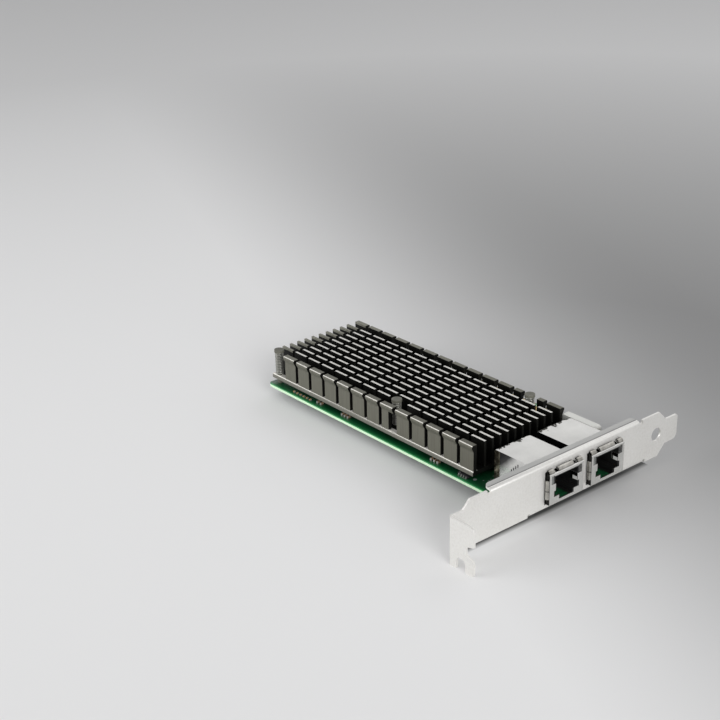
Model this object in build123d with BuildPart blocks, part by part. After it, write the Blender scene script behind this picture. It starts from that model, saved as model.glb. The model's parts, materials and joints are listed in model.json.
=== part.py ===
from build123d import *
import os

# Low-profile network interface card with two RJ45 ports.
# Origin: the middle of the connector's key slot, on the card's edge, halfway through the board.
# +X points out through the bracket, +Y into the host's slot, +Z out of the component side.
# Near and far tell the board's long edges apart: the far one carries the connector.
os.makedirs("parts", exist_ok=True)

# Board thickness, connector edge and key slot
board_thickness = 1.57
board_corner_radius = 1.5
finger_height = 8.25
finger_bevel = 0.45
finger_bevel_length = 1.2
finger_corner = 0.8
key_width = 1.9
key_depth = 7.65
key_to_bracket_face = 59.05
key_to_finger_front = 12.15
key_to_finger_rear = 39.15

# Edge contacts
contact_pitch = 1.0
contact_width = 0.7
contact_length = 5.6
contact_thickness = 0.05
contact_edge_gap = 1.35
key_to_first_contact = 1.5
front_contacts = 11
rear_contacts = 38

# Jack bodies and their places between the board's long edges
jack_width = 17.83
jack_height = 12.27
jack_length = 27.6
jack_proud = 2.0
jack_gap = 4.27
jack_near_margin = 9.25
jack_far_margin = 11.47

# Jack shields
shield_sheet = 0.25
shield_bend = 0.6
mouth_width = 13.1
mouth_low = 2.72
mouth_high = 11.07
latch_width = 7.7
latch_low = 1.07
light_width = 1.55
light_height = 3.35
light_inset = 0.96
light_low = 8.0
post_width = 1.6
post_length = 2.6
post_inset = 7.6
post_setback = 14.6
post_clearance = 0.2
top_fingers = ((-6.6, 2.4), (0.0, 7.6), (6.6, 2.4))
side_fingers = ((3.87, 3.0), (7.77, 4.0))
finger_sheet = 0.15
finger_rise = 0.4
finger_crest = 1.5
finger_length = 2.9
finger_root = 0.1
finger_root_length = 0.5
ground_tab_low = 5.1
ground_tab_height = 2.85
ground_tab_length = 3.2
ground_tab_sheet = 0.2

# Inside the jacks
wall_gap = 0.05
housing_back = 1.2
cavity_width = 11.9
cavity_depth = 14.5
cavity_ceiling = 0.5
latch_cavity_width = 6.7
light_groove = 2.15
contact_count = 8
plug_contact_pitch = 1.02
plug_contact_width = 0.45
wire_front = 1.6
wire_thickness = 0.3
wire_tip_x = 8.4
wire_tip_drop = 3.4
wire_fold = 0.7
tail_width = 0.6
tail_hole_radius = 0.55
tail_hole_sides = 6
tail_length = 3.0
tail_pitch = 2.54
tail_count = 6
tail_inset = 2.6

# Bracket plate, from the outer face of its screw tab and its solder-side edge
sheet = 0.86
bend_radius = 0.4
above_jacks = 3.72
tab_to_card_edge = 106.34
shoulder_past_card_edge = 2.66
hole_past_card_edge = 1.26
tongue_past_card_edge = 13.68
tongue_offset = 4.115
tongue_width = 10.19
tongue_upper_radius = 1.0
tongue_lower_radius = 2.5
round_hole_z = 9.55
round_hole_radius = 2.72
cut_out_clearance = 0.45

# Bracket screw tab
tab_reach = 11.43
tab_low = -3.45
tab_step = 3.12
tab_shoulder_y = 6.2
tab_foot = 2.45
tab_corner_radius = 2.0
screw_slot_width = 4.42
screw_slot_x = 5.3
screw_slot_top = 1.4
prong_radius = 1.2
prong_inner_radius = 0.5
tab_notch_mouth = (2.1, 7.85)
tab_notch_floor = (4.0, 6.8)
tab_notch_depth = 3.7

# Bracket flanges and the ears that carry the board
stiffener_start = 19.4
stiffener_end_margin = 8.94
stiffener_depth = 4.57
stiffener_near_radius = 3.2
stiffener_far_radius = 1.0
rest_near_margin = 1.46
rest_far_margin = 2.31
rest_depth = 3.2
upper_relief = 1.8
lower_relief = 1.1
relief_depth = 1.3
ear_reach = 11.0
ear_width = 8.4
ear_radius = 1.2
ear_screw_x = 7.0
near_ear_margin = 5.66
far_ear_margin = 4.29

# Bracket screws
screw_radius = 1.5
screw_fit = 0.04
screw_hole_radius = 1.6
screw_head_radius = 2.75
screw_head_height = 2.0
screw_tip = 0.9
driver_length = 3.0
driver_width = 0.7
driver_depth = 0.9

# Heatsink
sink_to_jack = 4.1
sink_near_margin = 2.25
sink_far_margin = 10.16
sink_underside = 1.8
sink_base = 1.93
sink_top = 14.4
column_count = 14
column_gap = 1.762
fin_length = 7.1
thin_row_count = 10
thin_fin = 1.0
edge_fin_inset = 0.26
edge_fin = 1.6
edge_row_space = 4.45
edge_lip = 0.9
edge_lip_height = 2.8
edge_lip_face = 1.05
edge_lip_chamfer = 0.4
base_slope = 0.6
pin_pocket = (8.6, 7.7)
pin_window = (1.1, 4.2)

# Push pins and their springs; places are from the board's rear edge and a long edge
corner_pin = (3.0, 4.06)
middle_pin = (73.8, 7.96)
far_pin = (105.8, 11.39)
pin_shank_radius = 1.2
pin_fit = 0.1
pin_hole_radius = 1.35
pin_flare_radius = 1.9
pin_flare_gap = 0.25
pin_tip_radius = 0.8
pin_tip_length = 2.2
pin_slot = 0.7
pin_head_radius = 2.1
pin_head_height = 1.1
pin_head_top = 15.0
spring_wire = 0.5
spring_radius = 1.65
spring_sides = 16

# Controller, regulators and the pads between them and the heatsink
controller_setback = 33.15
controller_near_margin = 29.26
controller_size = 25.0
chip_substrate = 0.6
chip_lid_margin = 1.6
pad_thickness = 0.3
regulator_size = (6.0, 5.0)
regulator_height = 0.9
regulator_places = ((20.0, 17.56), (20.0, 35.16), (34.0, 26.36))

# Filter can beside the far jack
can_setback = 0.5
can_side_gap = 0.4
can_size = (16.7, 3.4, 12.2)
can_corner = 1.2

# Small parts along the near edge, from the board's rear edge and its near edge
resistor_size = (0.9, 0.9, 0.5)
resistor_start = (15.45, 1.9)
resistor_pitch = 2.16
resistor_count = 6
capacitor_size = (0.9, 1.6, 0.8)
capacitor_margin = 2.9
capacitor_places = (30.4, 32.6, 46.3, 48.1, 50.0, 99.6, 101.4, 103.2)
buffer_size = (5.4, 1.5, 1.0)
buffer_place = (117.3, 2.61)
buffer_lead_pitch = 1.27
buffer_lead_count = 4
buffer_lead_length = 0.5

# Small parts along the far edge, from the board's rear edge and its far edge
far_capacitor_margin = 6.89
far_capacitor_places = (24.0, 56.0, 66.0)
inductor_size = (6.6, 6.6, 3.0)
inductor_corner = 1.0
inductor_margin = 4.89
inductor_places = (10.0, 32.0, 44.0)
flash_size = (5.2, 4.0, 1.7)
flash_place = (17.4, 3.8)
flash_lead_pitch = 1.27
flash_lead_count = 4
flash_lead_length = 0.95
lead_width = 0.45
lead_thickness = 0.2
lead_foot = 0.35
lead_rise = 0.55
crystal_size = (3.2, 2.5, 0.5)
crystal_lid = 0.3
crystal_lid_margin = 0.35
crystal_place = (76.0, 5.89)

# Small parts near the connector and under the controller
coupling_size = (1.0, 0.5, 0.5)
coupling_margin = 1.89
coupling_start = 4.95
coupling_pitch = 2.0
coupling_count = 16
decoupling_size = (1.6, 0.8, 0.8)
decoupling_pitch = 4.0
decoupling_column_count = 5
decoupling_row_count = 4

# Sizes that follow from the ones above
board_body = jack_near_margin + 2 * jack_width + jack_gap + jack_far_margin
board_height = board_body + finger_height
plate_width = sheet + board_thickness + jack_height + above_jacks
plate_length = tab_to_card_edge + tongue_past_card_edge
tab_high = plate_width - tab_step
sink_length = column_count * fin_length + (column_count - 1) * column_gap
sink_width = board_body - sink_near_margin - sink_far_margin
thin_row_span = sink_width - 2 * (edge_fin_inset + edge_fin + edge_row_space)
thin_row_pitch = thin_row_span / (thin_row_count - 1)

# Faces and edges in the shared frame
board_top = board_thickness / 2
board_bottom = -board_thickness / 2
plate_outer_x = key_to_bracket_face
plate_inner_x = plate_outer_x - sheet
plate_low_z = board_bottom - sheet
plate_high_z = plate_low_z + plate_width
board_front_x = plate_inner_x - bend_radius
near_edge_y = -board_height
far_edge_y = -finger_height
jack_front_x = plate_outer_x + jack_proud
jack_rear_x = jack_front_x - jack_length
jack_top_z = board_top + jack_height
jack_near_y = near_edge_y + jack_near_margin + jack_width / 2
jack_far_y = far_edge_y - jack_far_margin - jack_width / 2
jacks = (("near", jack_near_y), ("far", jack_far_y))
sink_front_x = jack_rear_x - sink_to_jack
sink_rear_x = sink_front_x - sink_length
board_rear_x = sink_rear_x
sink_near_y = near_edge_y + sink_near_margin
sink_far_y = sink_near_y + sink_width
sink_middle_y = sink_near_y + sink_width / 2
sink_bottom_z = board_top + sink_underside
sink_floor_z = sink_bottom_z + sink_base
sink_top_z = board_top + sink_top
stiffener_end = tab_to_card_edge - stiffener_end_margin
rest_start = tab_to_card_edge - board_height + rest_near_margin
rest_end = tab_to_card_edge - finger_height + rest_far_margin
ear_x = plate_outer_x - ear_screw_x
ear_screws = [(ear_x, near_edge_y + near_ear_margin), (ear_x, far_edge_y - far_ear_margin)]


def at_x(distance):
    """Place along X, from the bracket's outer face."""
    return plate_outer_x + distance


def at_y(distance):
    """Place along Y, from the outer face of the bracket's screw tab."""
    return distance - tab_to_card_edge


def at_z(distance):
    """Height above the bracket's solder-side edge."""
    return plate_low_z + distance


def from_near(place):
    """Point on the board, from its rear edge and its near edge."""
    return (board_rear_x + place[0], near_edge_y + place[1])


def from_far(place):
    """Point on the board, from its rear edge and its far edge."""
    return (board_rear_x + place[0], far_edge_y - place[1])


def nearest_edge(context, x, y, z):
    return context.edges().sort_by_distance((x, y, z))[0]


def finish(context, name):
    context.part.label = name
    export_step(context.part, "parts/" + name + ".step")


def tail_places(centre_y):
    """Solder tails of one jack, in two rows behind each other."""
    rows = (jack_rear_x + tail_inset, jack_rear_x + tail_inset + tail_pitch)
    start = centre_y - (tail_count - 1) / 2 * tail_pitch
    return [(x, start + i * tail_pitch) for x in rows for i in range(tail_count)]


def post_places(centre_y):
    """Shield posts of one jack, in line with its side walls."""
    reach = (jack_width - shield_sheet) / 2
    posts = (jack_rear_x + post_inset, jack_front_x - post_setback)
    return [(x, centre_y + side * reach) for x in posts for side in (1, -1)]


def finger_planes(centre_y):
    """Plane and width of each spring finger: x runs back from the front edge, y points outwards."""
    planes = []
    for place, width in top_fingers:
        start = (jack_front_x, centre_y + place, jack_top_z)
        planes.append((Plane(start, x_dir=(-1, 0, 0), z_dir=(0, 1, 0)), width))
    for side in (1, -1):
        for place, width in side_fingers:
            start = (jack_front_x, centre_y + side * jack_width / 2, board_top + place)
            planes.append((Plane(start, x_dir=(-1, 0, 0), z_dir=(0, 0, -side)), width))
    return planes


finger_outline = (
    (shield_bend, -shield_sheet / 2),
    (shield_bend + finger_root, 0),
    (finger_crest, finger_rise),
    (finger_length, finger_rise / 2),
    (finger_length, finger_rise / 2 - finger_sheet),
    (finger_crest, finger_rise - finger_sheet),
    (shield_bend + finger_root_length, -shield_sheet / 2),
)
wire_outline = (
    (cavity_depth, 0),
    (wire_front, 0),
    (wire_front, -wire_thickness),
    (wire_tip_x, -wire_tip_drop),
    (wire_tip_x, wire_thickness - wire_tip_drop),
    (wire_front + wire_fold, -wire_thickness),
    (cavity_depth, -wire_thickness),
)
pin_centres = [from_near(corner_pin), from_near(middle_pin), from_far(far_pin)]


# Bracket: one folded sheet with a screw tab, an inward stiffening flange and a board flange
with BuildPart() as bracket:
    with BuildSketch(Plane.XY.offset(at_z(tab_low))) as bent_section:
        with BuildLine():
            Polyline(
                (plate_inner_x, at_y(0)),
                (at_x(tab_reach), at_y(0)),
                (at_x(tab_reach), at_y(sheet)),
                (plate_outer_x, at_y(sheet)),
                (plate_outer_x, at_y(plate_length)),
                (plate_inner_x, at_y(plate_length)),
                close=True,
            )
        make_face()
        outer_corner = bent_section.vertices().sort_by_distance((plate_inner_x, at_y(0)))[0]
        fillet(outer_corner, radius=bend_radius + sheet)
        inner_corner = bent_section.vertices().sort_by_distance((plate_outer_x, at_y(sheet)))[0]
        fillet(inner_corner, radius=bend_radius)
    extrude(amount=plate_width - tab_low)

    # Outline of the plate, seen from outside
    with BuildSketch(Plane.YZ.offset(plate_inner_x)) as plate_outline:
        tongue_low = tongue_offset
        tongue_high = tongue_offset + tongue_width
        shoulder_y = shoulder_past_card_edge
        tongue_end_y = tongue_past_card_edge
        with BuildLine():
            Polyline(
                (at_y(0), at_z(tab_low)),
                (at_y(tab_foot), at_z(tab_low)),
                (at_y(tab_foot - tab_low), at_z(0)),
                (shoulder_y, at_z(0)),
                (shoulder_y + tongue_low, at_z(tongue_low)),
                (tongue_end_y, at_z(tongue_low)),
                (tongue_end_y, at_z(tongue_high)),
                (shoulder_y + plate_width - tongue_high, at_z(tongue_high)),
                (shoulder_y, at_z(plate_width)),
                (at_y(tab_shoulder_y + tab_step), at_z(plate_width)),
                (at_y(tab_shoulder_y), at_z(tab_high)),
                (at_y(0), at_z(tab_high)),
                close=True,
            )
        make_face()
        lower_end = plate_outline.vertices().sort_by_distance((tongue_end_y, at_z(tongue_low)))[0]
        fillet(lower_end, radius=tongue_lower_radius)
        upper_end = plate_outline.vertices().sort_by_distance((tongue_end_y, at_z(tongue_high)))[0]
        fillet(upper_end, radius=tongue_upper_radius)
    extrude(amount=tab_reach + sheet, mode=Mode.INTERSECT)

    # Round hole near the tongue, the two port cut-outs and the reliefs at the flanges' ends
    with BuildSketch(Plane.YZ.offset(plate_inner_x)):
        with Locations((hole_past_card_edge, at_z(round_hole_z))):
            Circle(round_hole_radius)
        for jack_name, jack_y in jacks:
            with Locations((jack_y, board_top + jack_height / 2)):
                Rectangle(jack_width + 2 * cut_out_clearance, jack_height + 2 * cut_out_clearance)
        for ends, width, edge in (
            ((stiffener_start, stiffener_end), upper_relief, plate_high_z),
            ((rest_start, rest_end), lower_relief, plate_low_z),
        ):
            for relief_y in (ends[0] - width / 2, ends[1] + width / 2):
                with Locations((at_y(relief_y), edge)):
                    Rectangle(width, 2 * relief_depth)
    extrude(amount=sheet, mode=Mode.SUBTRACT)

    # Screw tab: open slot for the case screw and a relief in the free edge
    with BuildSketch(Plane.XZ.offset(-at_y(0))):
        with BuildLine():
            Polyline(
                (at_x(tab_reach), at_z(tab_notch_mouth[0])),
                (at_x(tab_reach - tab_notch_depth), at_z(tab_notch_floor[0])),
                (at_x(tab_reach - tab_notch_depth), at_z(tab_notch_floor[1])),
                (at_x(tab_reach), at_z(tab_notch_mouth[1])),
                close=True,
            )
        make_face()
        slot_round_z = at_z(screw_slot_top - screw_slot_width / 2)
        slot_length = slot_round_z - at_z(tab_low)
        with Locations((at_x(screw_slot_x), slot_round_z - slot_length / 2)):
            Rectangle(screw_slot_width, slot_length)
        with Locations((at_x(screw_slot_x), slot_round_z)):
            Circle(screw_slot_width / 2)
    extrude(amount=-sheet, mode=Mode.SUBTRACT)
    fillet(nearest_edge(bracket, at_x(tab_reach), at_y(sheet / 2), at_z(tab_high)), radius=tab_corner_radius)
    for prong_x, radius in (
        (tab_reach, prong_radius),
        (screw_slot_x + screw_slot_width / 2, prong_inner_radius),
        (screw_slot_x - screw_slot_width / 2, prong_inner_radius),
    ):
        fillet(nearest_edge(bracket, at_x(prong_x), at_y(sheet / 2), at_z(tab_low)), radius=radius)

    # Stiffening flange along the component side
    stiffener_middle = at_y((stiffener_start + stiffener_end) / 2)
    stiffener_x = plate_outer_x - stiffener_depth
    with BuildSketch(Plane.XY.offset(plate_high_z - sheet)) as stiffener:
        with Locations((plate_outer_x - stiffener_depth / 2, stiffener_middle)):
            Rectangle(stiffener_depth, stiffener_end - stiffener_start)
        near_end = stiffener.vertices().sort_by_distance((stiffener_x, at_y(stiffener_start)))[0]
        fillet(near_end, radius=stiffener_near_radius)
        far_end = stiffener.vertices().sort_by_distance((stiffener_x, at_y(stiffener_end)))[0]
        fillet(far_end, radius=stiffener_far_radius)
    extrude(amount=sheet)

    # Flange under the board, with two ears for its screws
    rest_middle = at_y((rest_start + rest_end) / 2)
    with BuildSketch(Plane.XY.offset(plate_low_z)) as rest:
        with Locations((plate_outer_x - rest_depth / 2, rest_middle)):
            Rectangle(rest_depth, rest_end - rest_start)
        with Locations(*[(plate_outer_x - ear_reach / 2, y) for x, y in ear_screws]):
            Rectangle(ear_reach, ear_width)
        ear_tips = rest.vertices().group_by(Axis.X)[0]
        fillet(ear_tips, radius=ear_radius)
        with Locations(*ear_screws):
            Circle(screw_radius + screw_fit, mode=Mode.SUBTRACT)
    extrude(amount=sheet)
    for middle, outside_z, inside_z in (
        (stiffener_middle, plate_high_z, plate_high_z - sheet),
        (rest_middle, plate_low_z, plate_low_z + sheet),
    ):
        fillet(nearest_edge(bracket, plate_outer_x, middle, outside_z), radius=bend_radius + sheet)
        fillet(nearest_edge(bracket, plate_inner_x, middle, inside_z), radius=bend_radius)
finish(bracket, "bracket")


# Board: outline with the key slot, a bevelled finger edge and its holes
with BuildPart() as board:
    with BuildSketch(Plane.XY.offset(board_bottom)) as board_outline:
        with BuildLine():
            Polyline(
                (board_rear_x, near_edge_y),
                (board_front_x, near_edge_y),
                (board_front_x, far_edge_y),
                (key_to_finger_front, far_edge_y),
                (key_to_finger_front, 0),
                (-key_to_finger_rear, 0),
                (-key_to_finger_rear, far_edge_y),
                (board_rear_x, far_edge_y),
                close=True,
            )
        make_face()
        fillet(board_outline.vertices().group_by(Axis.X)[0], radius=board_corner_radius)
        chamfer(board_outline.vertices().group_by(Axis.Y)[-1], length=finger_corner)
        with Locations((0, -key_depth / 2)):
            Rectangle(key_width, key_depth, mode=Mode.SUBTRACT)
        with Locations((0, -key_depth)):
            Circle(key_width / 2, mode=Mode.SUBTRACT)
        with Locations(*ear_screws):
            Circle(screw_hole_radius, mode=Mode.SUBTRACT)
        with Locations(*pin_centres):
            Circle(pin_hole_radius, mode=Mode.SUBTRACT)
        for jack_name, jack_y in jacks:
            with Locations(*tail_places(jack_y)):
                RegularPolygon(tail_hole_radius, tail_hole_sides, mode=Mode.SUBTRACT)
            with Locations(*post_places(jack_y)):
                post_slot_length = post_width + 2 * post_clearance
                Rectangle(post_slot_length, shield_sheet + 2 * post_clearance, mode=Mode.SUBTRACT)
    extrude(amount=board_thickness)
    with BuildSketch(Plane.YZ.offset(-key_to_finger_rear)):
        for side in (1, -1):
            with BuildLine():
                Polyline(
                    (0, side * board_top),
                    (-finger_bevel_length, side * board_top),
                    (0, side * (board_top - finger_bevel)),
                    close=True,
                )
            make_face()
    extrude(amount=key_to_finger_front + key_to_finger_rear, mode=Mode.SUBTRACT)
finish(board, "board")


# Gold contacts on both faces of the finger edge
contact_x = [key_to_first_contact + i * contact_pitch for i in range(front_contacts)]
contact_x += [-key_to_first_contact - i * contact_pitch for i in range(rear_contacts)]
contact_y = -contact_edge_gap - contact_length / 2
for contact_name, face_z, outward in (
    ("edge_contacts_component_side", board_top, 1),
    ("edge_contacts_solder_side", board_bottom, -1),
):
    with BuildPart() as edge_contacts:
        with BuildSketch(Plane.XY.offset(face_z)):
            with Locations(*[(x, contact_y) for x in contact_x]):
                Rectangle(contact_width, contact_length)
        extrude(amount=outward * contact_thickness)
    finish(edge_contacts, contact_name)


# Heatsink: an extruded finned section, cross cut into pins, with pockets for the push pins
with BuildPart() as heatsink:
    with BuildSketch(Plane.YZ.offset(sink_rear_x)):
        with BuildLine():
            Polyline(
                (sink_near_y, sink_bottom_z),
                (sink_near_y, sink_floor_z - base_slope),
                (sink_near_y + edge_fin_inset, sink_floor_z),
                (sink_far_y - edge_fin_inset, sink_floor_z),
                (sink_far_y, sink_floor_z - base_slope),
                (sink_far_y, sink_bottom_z),
                close=True,
            )
        make_face()
        fin_middle_z = (sink_floor_z + sink_top_z) / 2
        for row in range(thin_row_count):
            with Locations((sink_middle_y - thin_row_span / 2 + row * thin_row_pitch, fin_middle_z)):
                Rectangle(thin_fin, sink_top_z - sink_floor_z)
        for side in (1, -1):
            edge_outside = sink_middle_y - side * (sink_width / 2 - edge_fin_inset)
            lip_outside = edge_outside - side * edge_lip
            edge_inside = edge_outside + side * edge_fin
            with BuildLine():
                Polyline(
                    (edge_outside, sink_floor_z),
                    (edge_outside, sink_top_z - edge_lip_height),
                    (lip_outside, sink_top_z - edge_lip_face),
                    (lip_outside, sink_top_z - edge_lip_chamfer),
                    (lip_outside + side * edge_lip_chamfer, sink_top_z),
                    (edge_inside, sink_top_z),
                    (edge_inside, sink_floor_z),
                    close=True,
                )
            make_face()
    extrude(amount=sink_length)
    with BuildSketch(Plane.XY.offset(sink_floor_z)):
        for column in range(column_count - 1):
            gap_x = sink_rear_x + (column + 1) * (fin_length + column_gap) - column_gap / 2
            with Locations((gap_x, sink_middle_y)):
                Rectangle(column_gap, sink_width + 2 * edge_lip)
        with Locations(*pin_centres):
            Rectangle(*pin_pocket)
    extrude(amount=sink_top, mode=Mode.SUBTRACT)

    # Window through the near edge row, beside the middle pin and below the lip
    with BuildSketch(Plane.XZ.offset(-sink_near_y)):
        window_x = from_near(middle_pin)[0] + (pin_window[0] + pin_window[1]) / 2
        window_top_z = sink_top_z - edge_lip_height
        with Locations((window_x, (sink_floor_z + window_top_z) / 2)):
            Rectangle(pin_window[1] - pin_window[0], window_top_z - sink_floor_z)
    extrude(amount=-edge_row_space, mode=Mode.SUBTRACT)

    # Holes in the base for the push pins
    with BuildSketch(Plane.XY.offset(sink_bottom_z)):
        with Locations(*pin_centres):
            Circle(pin_shank_radius + pin_fit)
    extrude(amount=sink_base, mode=Mode.SUBTRACT)
finish(heatsink, "heatsink")


# Push pins: flat head, shank through heatsink and board, split barbed tip
pin_top_z = board_top + pin_head_top
pin_head_z = pin_top_z - pin_head_height
with BuildPart() as push_pins:
    for pin_x, pin_y in pin_centres:
        with BuildSketch(Plane((pin_x, pin_y, 0), x_dir=(1, 0, 0), z_dir=(0, -1, 0))):
            with BuildLine():
                Polyline(
                    (0, board_bottom - pin_tip_length),
                    (pin_tip_radius, board_bottom - pin_tip_length),
                    (pin_flare_radius, board_bottom - pin_flare_gap),
                    (pin_shank_radius, board_bottom - pin_flare_gap),
                    (pin_shank_radius, pin_head_z),
                    (pin_head_radius, pin_head_z),
                    (pin_head_radius, pin_top_z),
                    (0, pin_top_z),
                    close=True,
                )
            make_face()
        revolve(axis=Axis((pin_x, pin_y, 0), (0, 0, 1)))
    with BuildSketch(Plane.XY.offset(board_bottom - pin_tip_length)):
        with Locations(*pin_centres):
            Rectangle(2 * pin_flare_radius, pin_slot)
    extrude(amount=pin_tip_length + board_thickness, mode=Mode.SUBTRACT)
finish(push_pins, "push_pins")

# Springs that press the heatsink down, as sleeves of their wire's thickness
with BuildPart() as pin_springs:
    with BuildSketch(Plane.XY.offset(sink_floor_z)):
        with Locations(*pin_centres):
            RegularPolygon(spring_radius + spring_wire / 2, spring_sides)
            RegularPolygon(spring_radius - spring_wire / 2, spring_sides, mode=Mode.SUBTRACT)
    extrude(amount=pin_head_z - sink_floor_z)
finish(pin_springs, "pin_springs")


# Controller and regulators, with the pads that carry their heat into the heatsink
controller_xy = (sink_front_x - controller_setback, near_edge_y + controller_near_margin)
lid_z = sink_bottom_z - pad_thickness
lid_size = controller_size - 2 * chip_lid_margin
with BuildPart() as controller_chip:
    with BuildSketch(Plane.XY.offset(board_top)):
        with Locations(controller_xy):
            Rectangle(controller_size, controller_size)
    extrude(amount=chip_substrate)
    with BuildSketch(Plane.XY.offset(board_top + chip_substrate)):
        with Locations(controller_xy):
            Rectangle(lid_size, lid_size)
    extrude(amount=lid_z - board_top - chip_substrate)
finish(controller_chip, "controller_chip")

regulator_xy = [from_near(place) for place in regulator_places]
with BuildPart() as regulators:
    with BuildSketch(Plane.XY.offset(board_top)):
        with Locations(*regulator_xy):
            Rectangle(*regulator_size)
    extrude(amount=regulator_height)
finish(regulators, "regulators")

with BuildPart() as thermal_pads:
    with BuildSketch(Plane.XY.offset(lid_z)):
        with Locations(controller_xy):
            Rectangle(lid_size, lid_size)
    extrude(amount=pad_thickness)
    with BuildSketch(Plane.XY.offset(board_top + regulator_height)):
        with Locations(*regulator_xy):
            Rectangle(*regulator_size)
    extrude(amount=sink_underside - regulator_height)
finish(thermal_pads, "thermal_pads")


# Jacks: metal shield, moulded housing, plug contacts, light pipes, magnetics and solder tails
inner_width = jack_width - 2 * shield_sheet
housing_front_x = jack_front_x - shield_sheet
housing_rear_x = housing_front_x - cavity_depth - housing_back
housing_top_z = jack_top_z - shield_sheet - wall_gap
cavity_top_z = board_top + mouth_high - cavity_ceiling
light_z = board_top + light_low
for jack_name, jack_y in jacks:
    with BuildPart() as shield:
        with BuildSketch(Plane.XY.offset(board_top)):
            with Locations(((jack_front_x + jack_rear_x) / 2, jack_y)):
                Rectangle(jack_length, jack_width)
        extrude(amount=jack_height)
        fillet(nearest_edge(shield, jack_front_x, jack_y, jack_top_z), radius=shield_bend)
        fillet(nearest_edge(shield, jack_rear_x, jack_y, jack_top_z), radius=shield_bend)
        offset(amount=-shield_sheet, openings=shield.faces().sort_by(Axis.Z)[0], kind=Kind.INTERSECTION)
        with BuildSketch(Plane.YZ.offset(jack_front_x)):
            with Locations((jack_y, board_top + (mouth_low + mouth_high) / 2)):
                Rectangle(mouth_width, mouth_high - mouth_low)
            with Locations((jack_y, board_top + (latch_low + mouth_low) / 2)):
                Rectangle(latch_width, mouth_low - latch_low)
            for side in (1, -1):
                light_y = jack_y + side * (jack_width / 2 - light_inset - light_width / 2)
                with Locations((light_y, light_z + light_height / 2)):
                    Rectangle(light_width, light_height)
        extrude(amount=-2 * shield_sheet, mode=Mode.SUBTRACT)

        # Posts through the board, spring fingers towards the bracket and the plug's ground tabs
        with BuildSketch(Plane.XY.offset(board_top)):
            with Locations(*post_places(jack_y)):
                Rectangle(post_width, shield_sheet)
        extrude(amount=-post_length)
        for finger_plane, finger_width in finger_planes(jack_y):
            with BuildSketch(finger_plane):
                with BuildLine():
                    Polyline(*finger_outline, close=True)
                make_face()
            extrude(amount=finger_width / 2, both=True)
        with BuildSketch(Plane.XY.offset(board_top + ground_tab_low)):
            for side in (1, -1):
                tab_side_y = jack_y + side * (cavity_width / 2 - wall_gap)
                tab_inner_y = tab_side_y - side * ground_tab_sheet
                mouth_side_y = jack_y + side * mouth_width / 2
                with BuildLine():
                    Polyline(
                        (jack_front_x - shield_sheet, mouth_side_y),
                        (jack_front_x, mouth_side_y),
                        (jack_front_x, tab_inner_y),
                        (jack_front_x - ground_tab_length, tab_inner_y),
                        (jack_front_x - ground_tab_length, tab_side_y),
                        (jack_front_x - shield_sheet, tab_side_y),
                        close=True,
                    )
                make_face()
        extrude(amount=ground_tab_height)
    finish(shield, "jack_shield_" + jack_name)

    with BuildPart() as housing:
        with BuildSketch(Plane.YZ.offset(housing_front_x)):
            with Locations((jack_y, (board_top + housing_top_z) / 2)):
                Rectangle(inner_width - 2 * wall_gap, housing_top_z - board_top)
            for side in (1, -1):
                groove_y = jack_y + side * (inner_width / 2 - light_groove / 2)
                with Locations((groove_y, (light_z + housing_top_z) / 2)):
                    Rectangle(light_groove, housing_top_z - light_z, mode=Mode.SUBTRACT)
        extrude(amount=housing_rear_x - housing_front_x)
        with BuildSketch(Plane.YZ.offset(housing_front_x)):
            with Locations((jack_y, (board_top + mouth_low + cavity_top_z) / 2)):
                Rectangle(cavity_width, cavity_top_z - board_top - mouth_low)
            with Locations((jack_y, board_top + (latch_low + mouth_low) / 2)):
                Rectangle(latch_cavity_width, mouth_low - latch_low)
        extrude(amount=-cavity_depth, mode=Mode.SUBTRACT)
        fillet(nearest_edge(housing, housing_front_x, jack_y, housing_top_z), radius=shield_bend)
    finish(housing, "jack_housing_" + jack_name)

    with BuildPart() as plug_contacts:
        for index in range(contact_count):
            wire_y = jack_y + (index - (contact_count - 1) / 2) * plug_contact_pitch
            wire_plane = Plane((housing_front_x, wire_y, cavity_top_z), x_dir=(-1, 0, 0), z_dir=(0, 1, 0))
            with BuildSketch(wire_plane):
                with BuildLine():
                    Polyline(*wire_outline, close=True)
                make_face()
            extrude(amount=plug_contact_width / 2, both=True)
    finish(plug_contacts, "plug_contacts_" + jack_name)

    with BuildPart() as light_pipes:
        pipe_sides = [jack_y + side * (inner_width - light_groove) / 2 for side in (1, -1)]
        with BuildSketch(Plane.YZ.offset(housing_front_x)):
            with Locations(*[(pipe_y, (light_z + housing_top_z) / 2) for pipe_y in pipe_sides]):
                Rectangle(light_groove - 2 * wall_gap, housing_top_z - light_z - 2 * wall_gap)
        extrude(amount=housing_rear_x - housing_front_x)
        for pipe_y in pipe_sides:
            pipe_edge = nearest_edge(light_pipes, housing_front_x, pipe_y, housing_top_z - wall_gap)
            fillet(pipe_edge, radius=shield_bend)
    finish(light_pipes, "light_pipes_" + jack_name)

    with BuildPart() as magnetics:
        module_rear_x = jack_rear_x + shield_sheet + wall_gap
        module_front_x = housing_rear_x - wall_gap
        with BuildSketch(Plane.XY.offset(board_top)):
            with Locations(((module_rear_x + module_front_x) / 2, jack_y)):
                Rectangle(module_front_x - module_rear_x, inner_width - 2 * wall_gap)
        extrude(amount=housing_top_z - board_top)
        fillet(nearest_edge(magnetics, module_rear_x, jack_y, housing_top_z), radius=shield_bend)
    finish(magnetics, "magnetics_" + jack_name)

    with BuildPart() as solder_tails:
        with BuildSketch(Plane.XY.offset(board_top)):
            with Locations(*tail_places(jack_y)):
                Rectangle(tail_width, tail_width)
        extrude(amount=-tail_length)
    finish(solder_tails, "solder_tails_" + jack_name)


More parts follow.
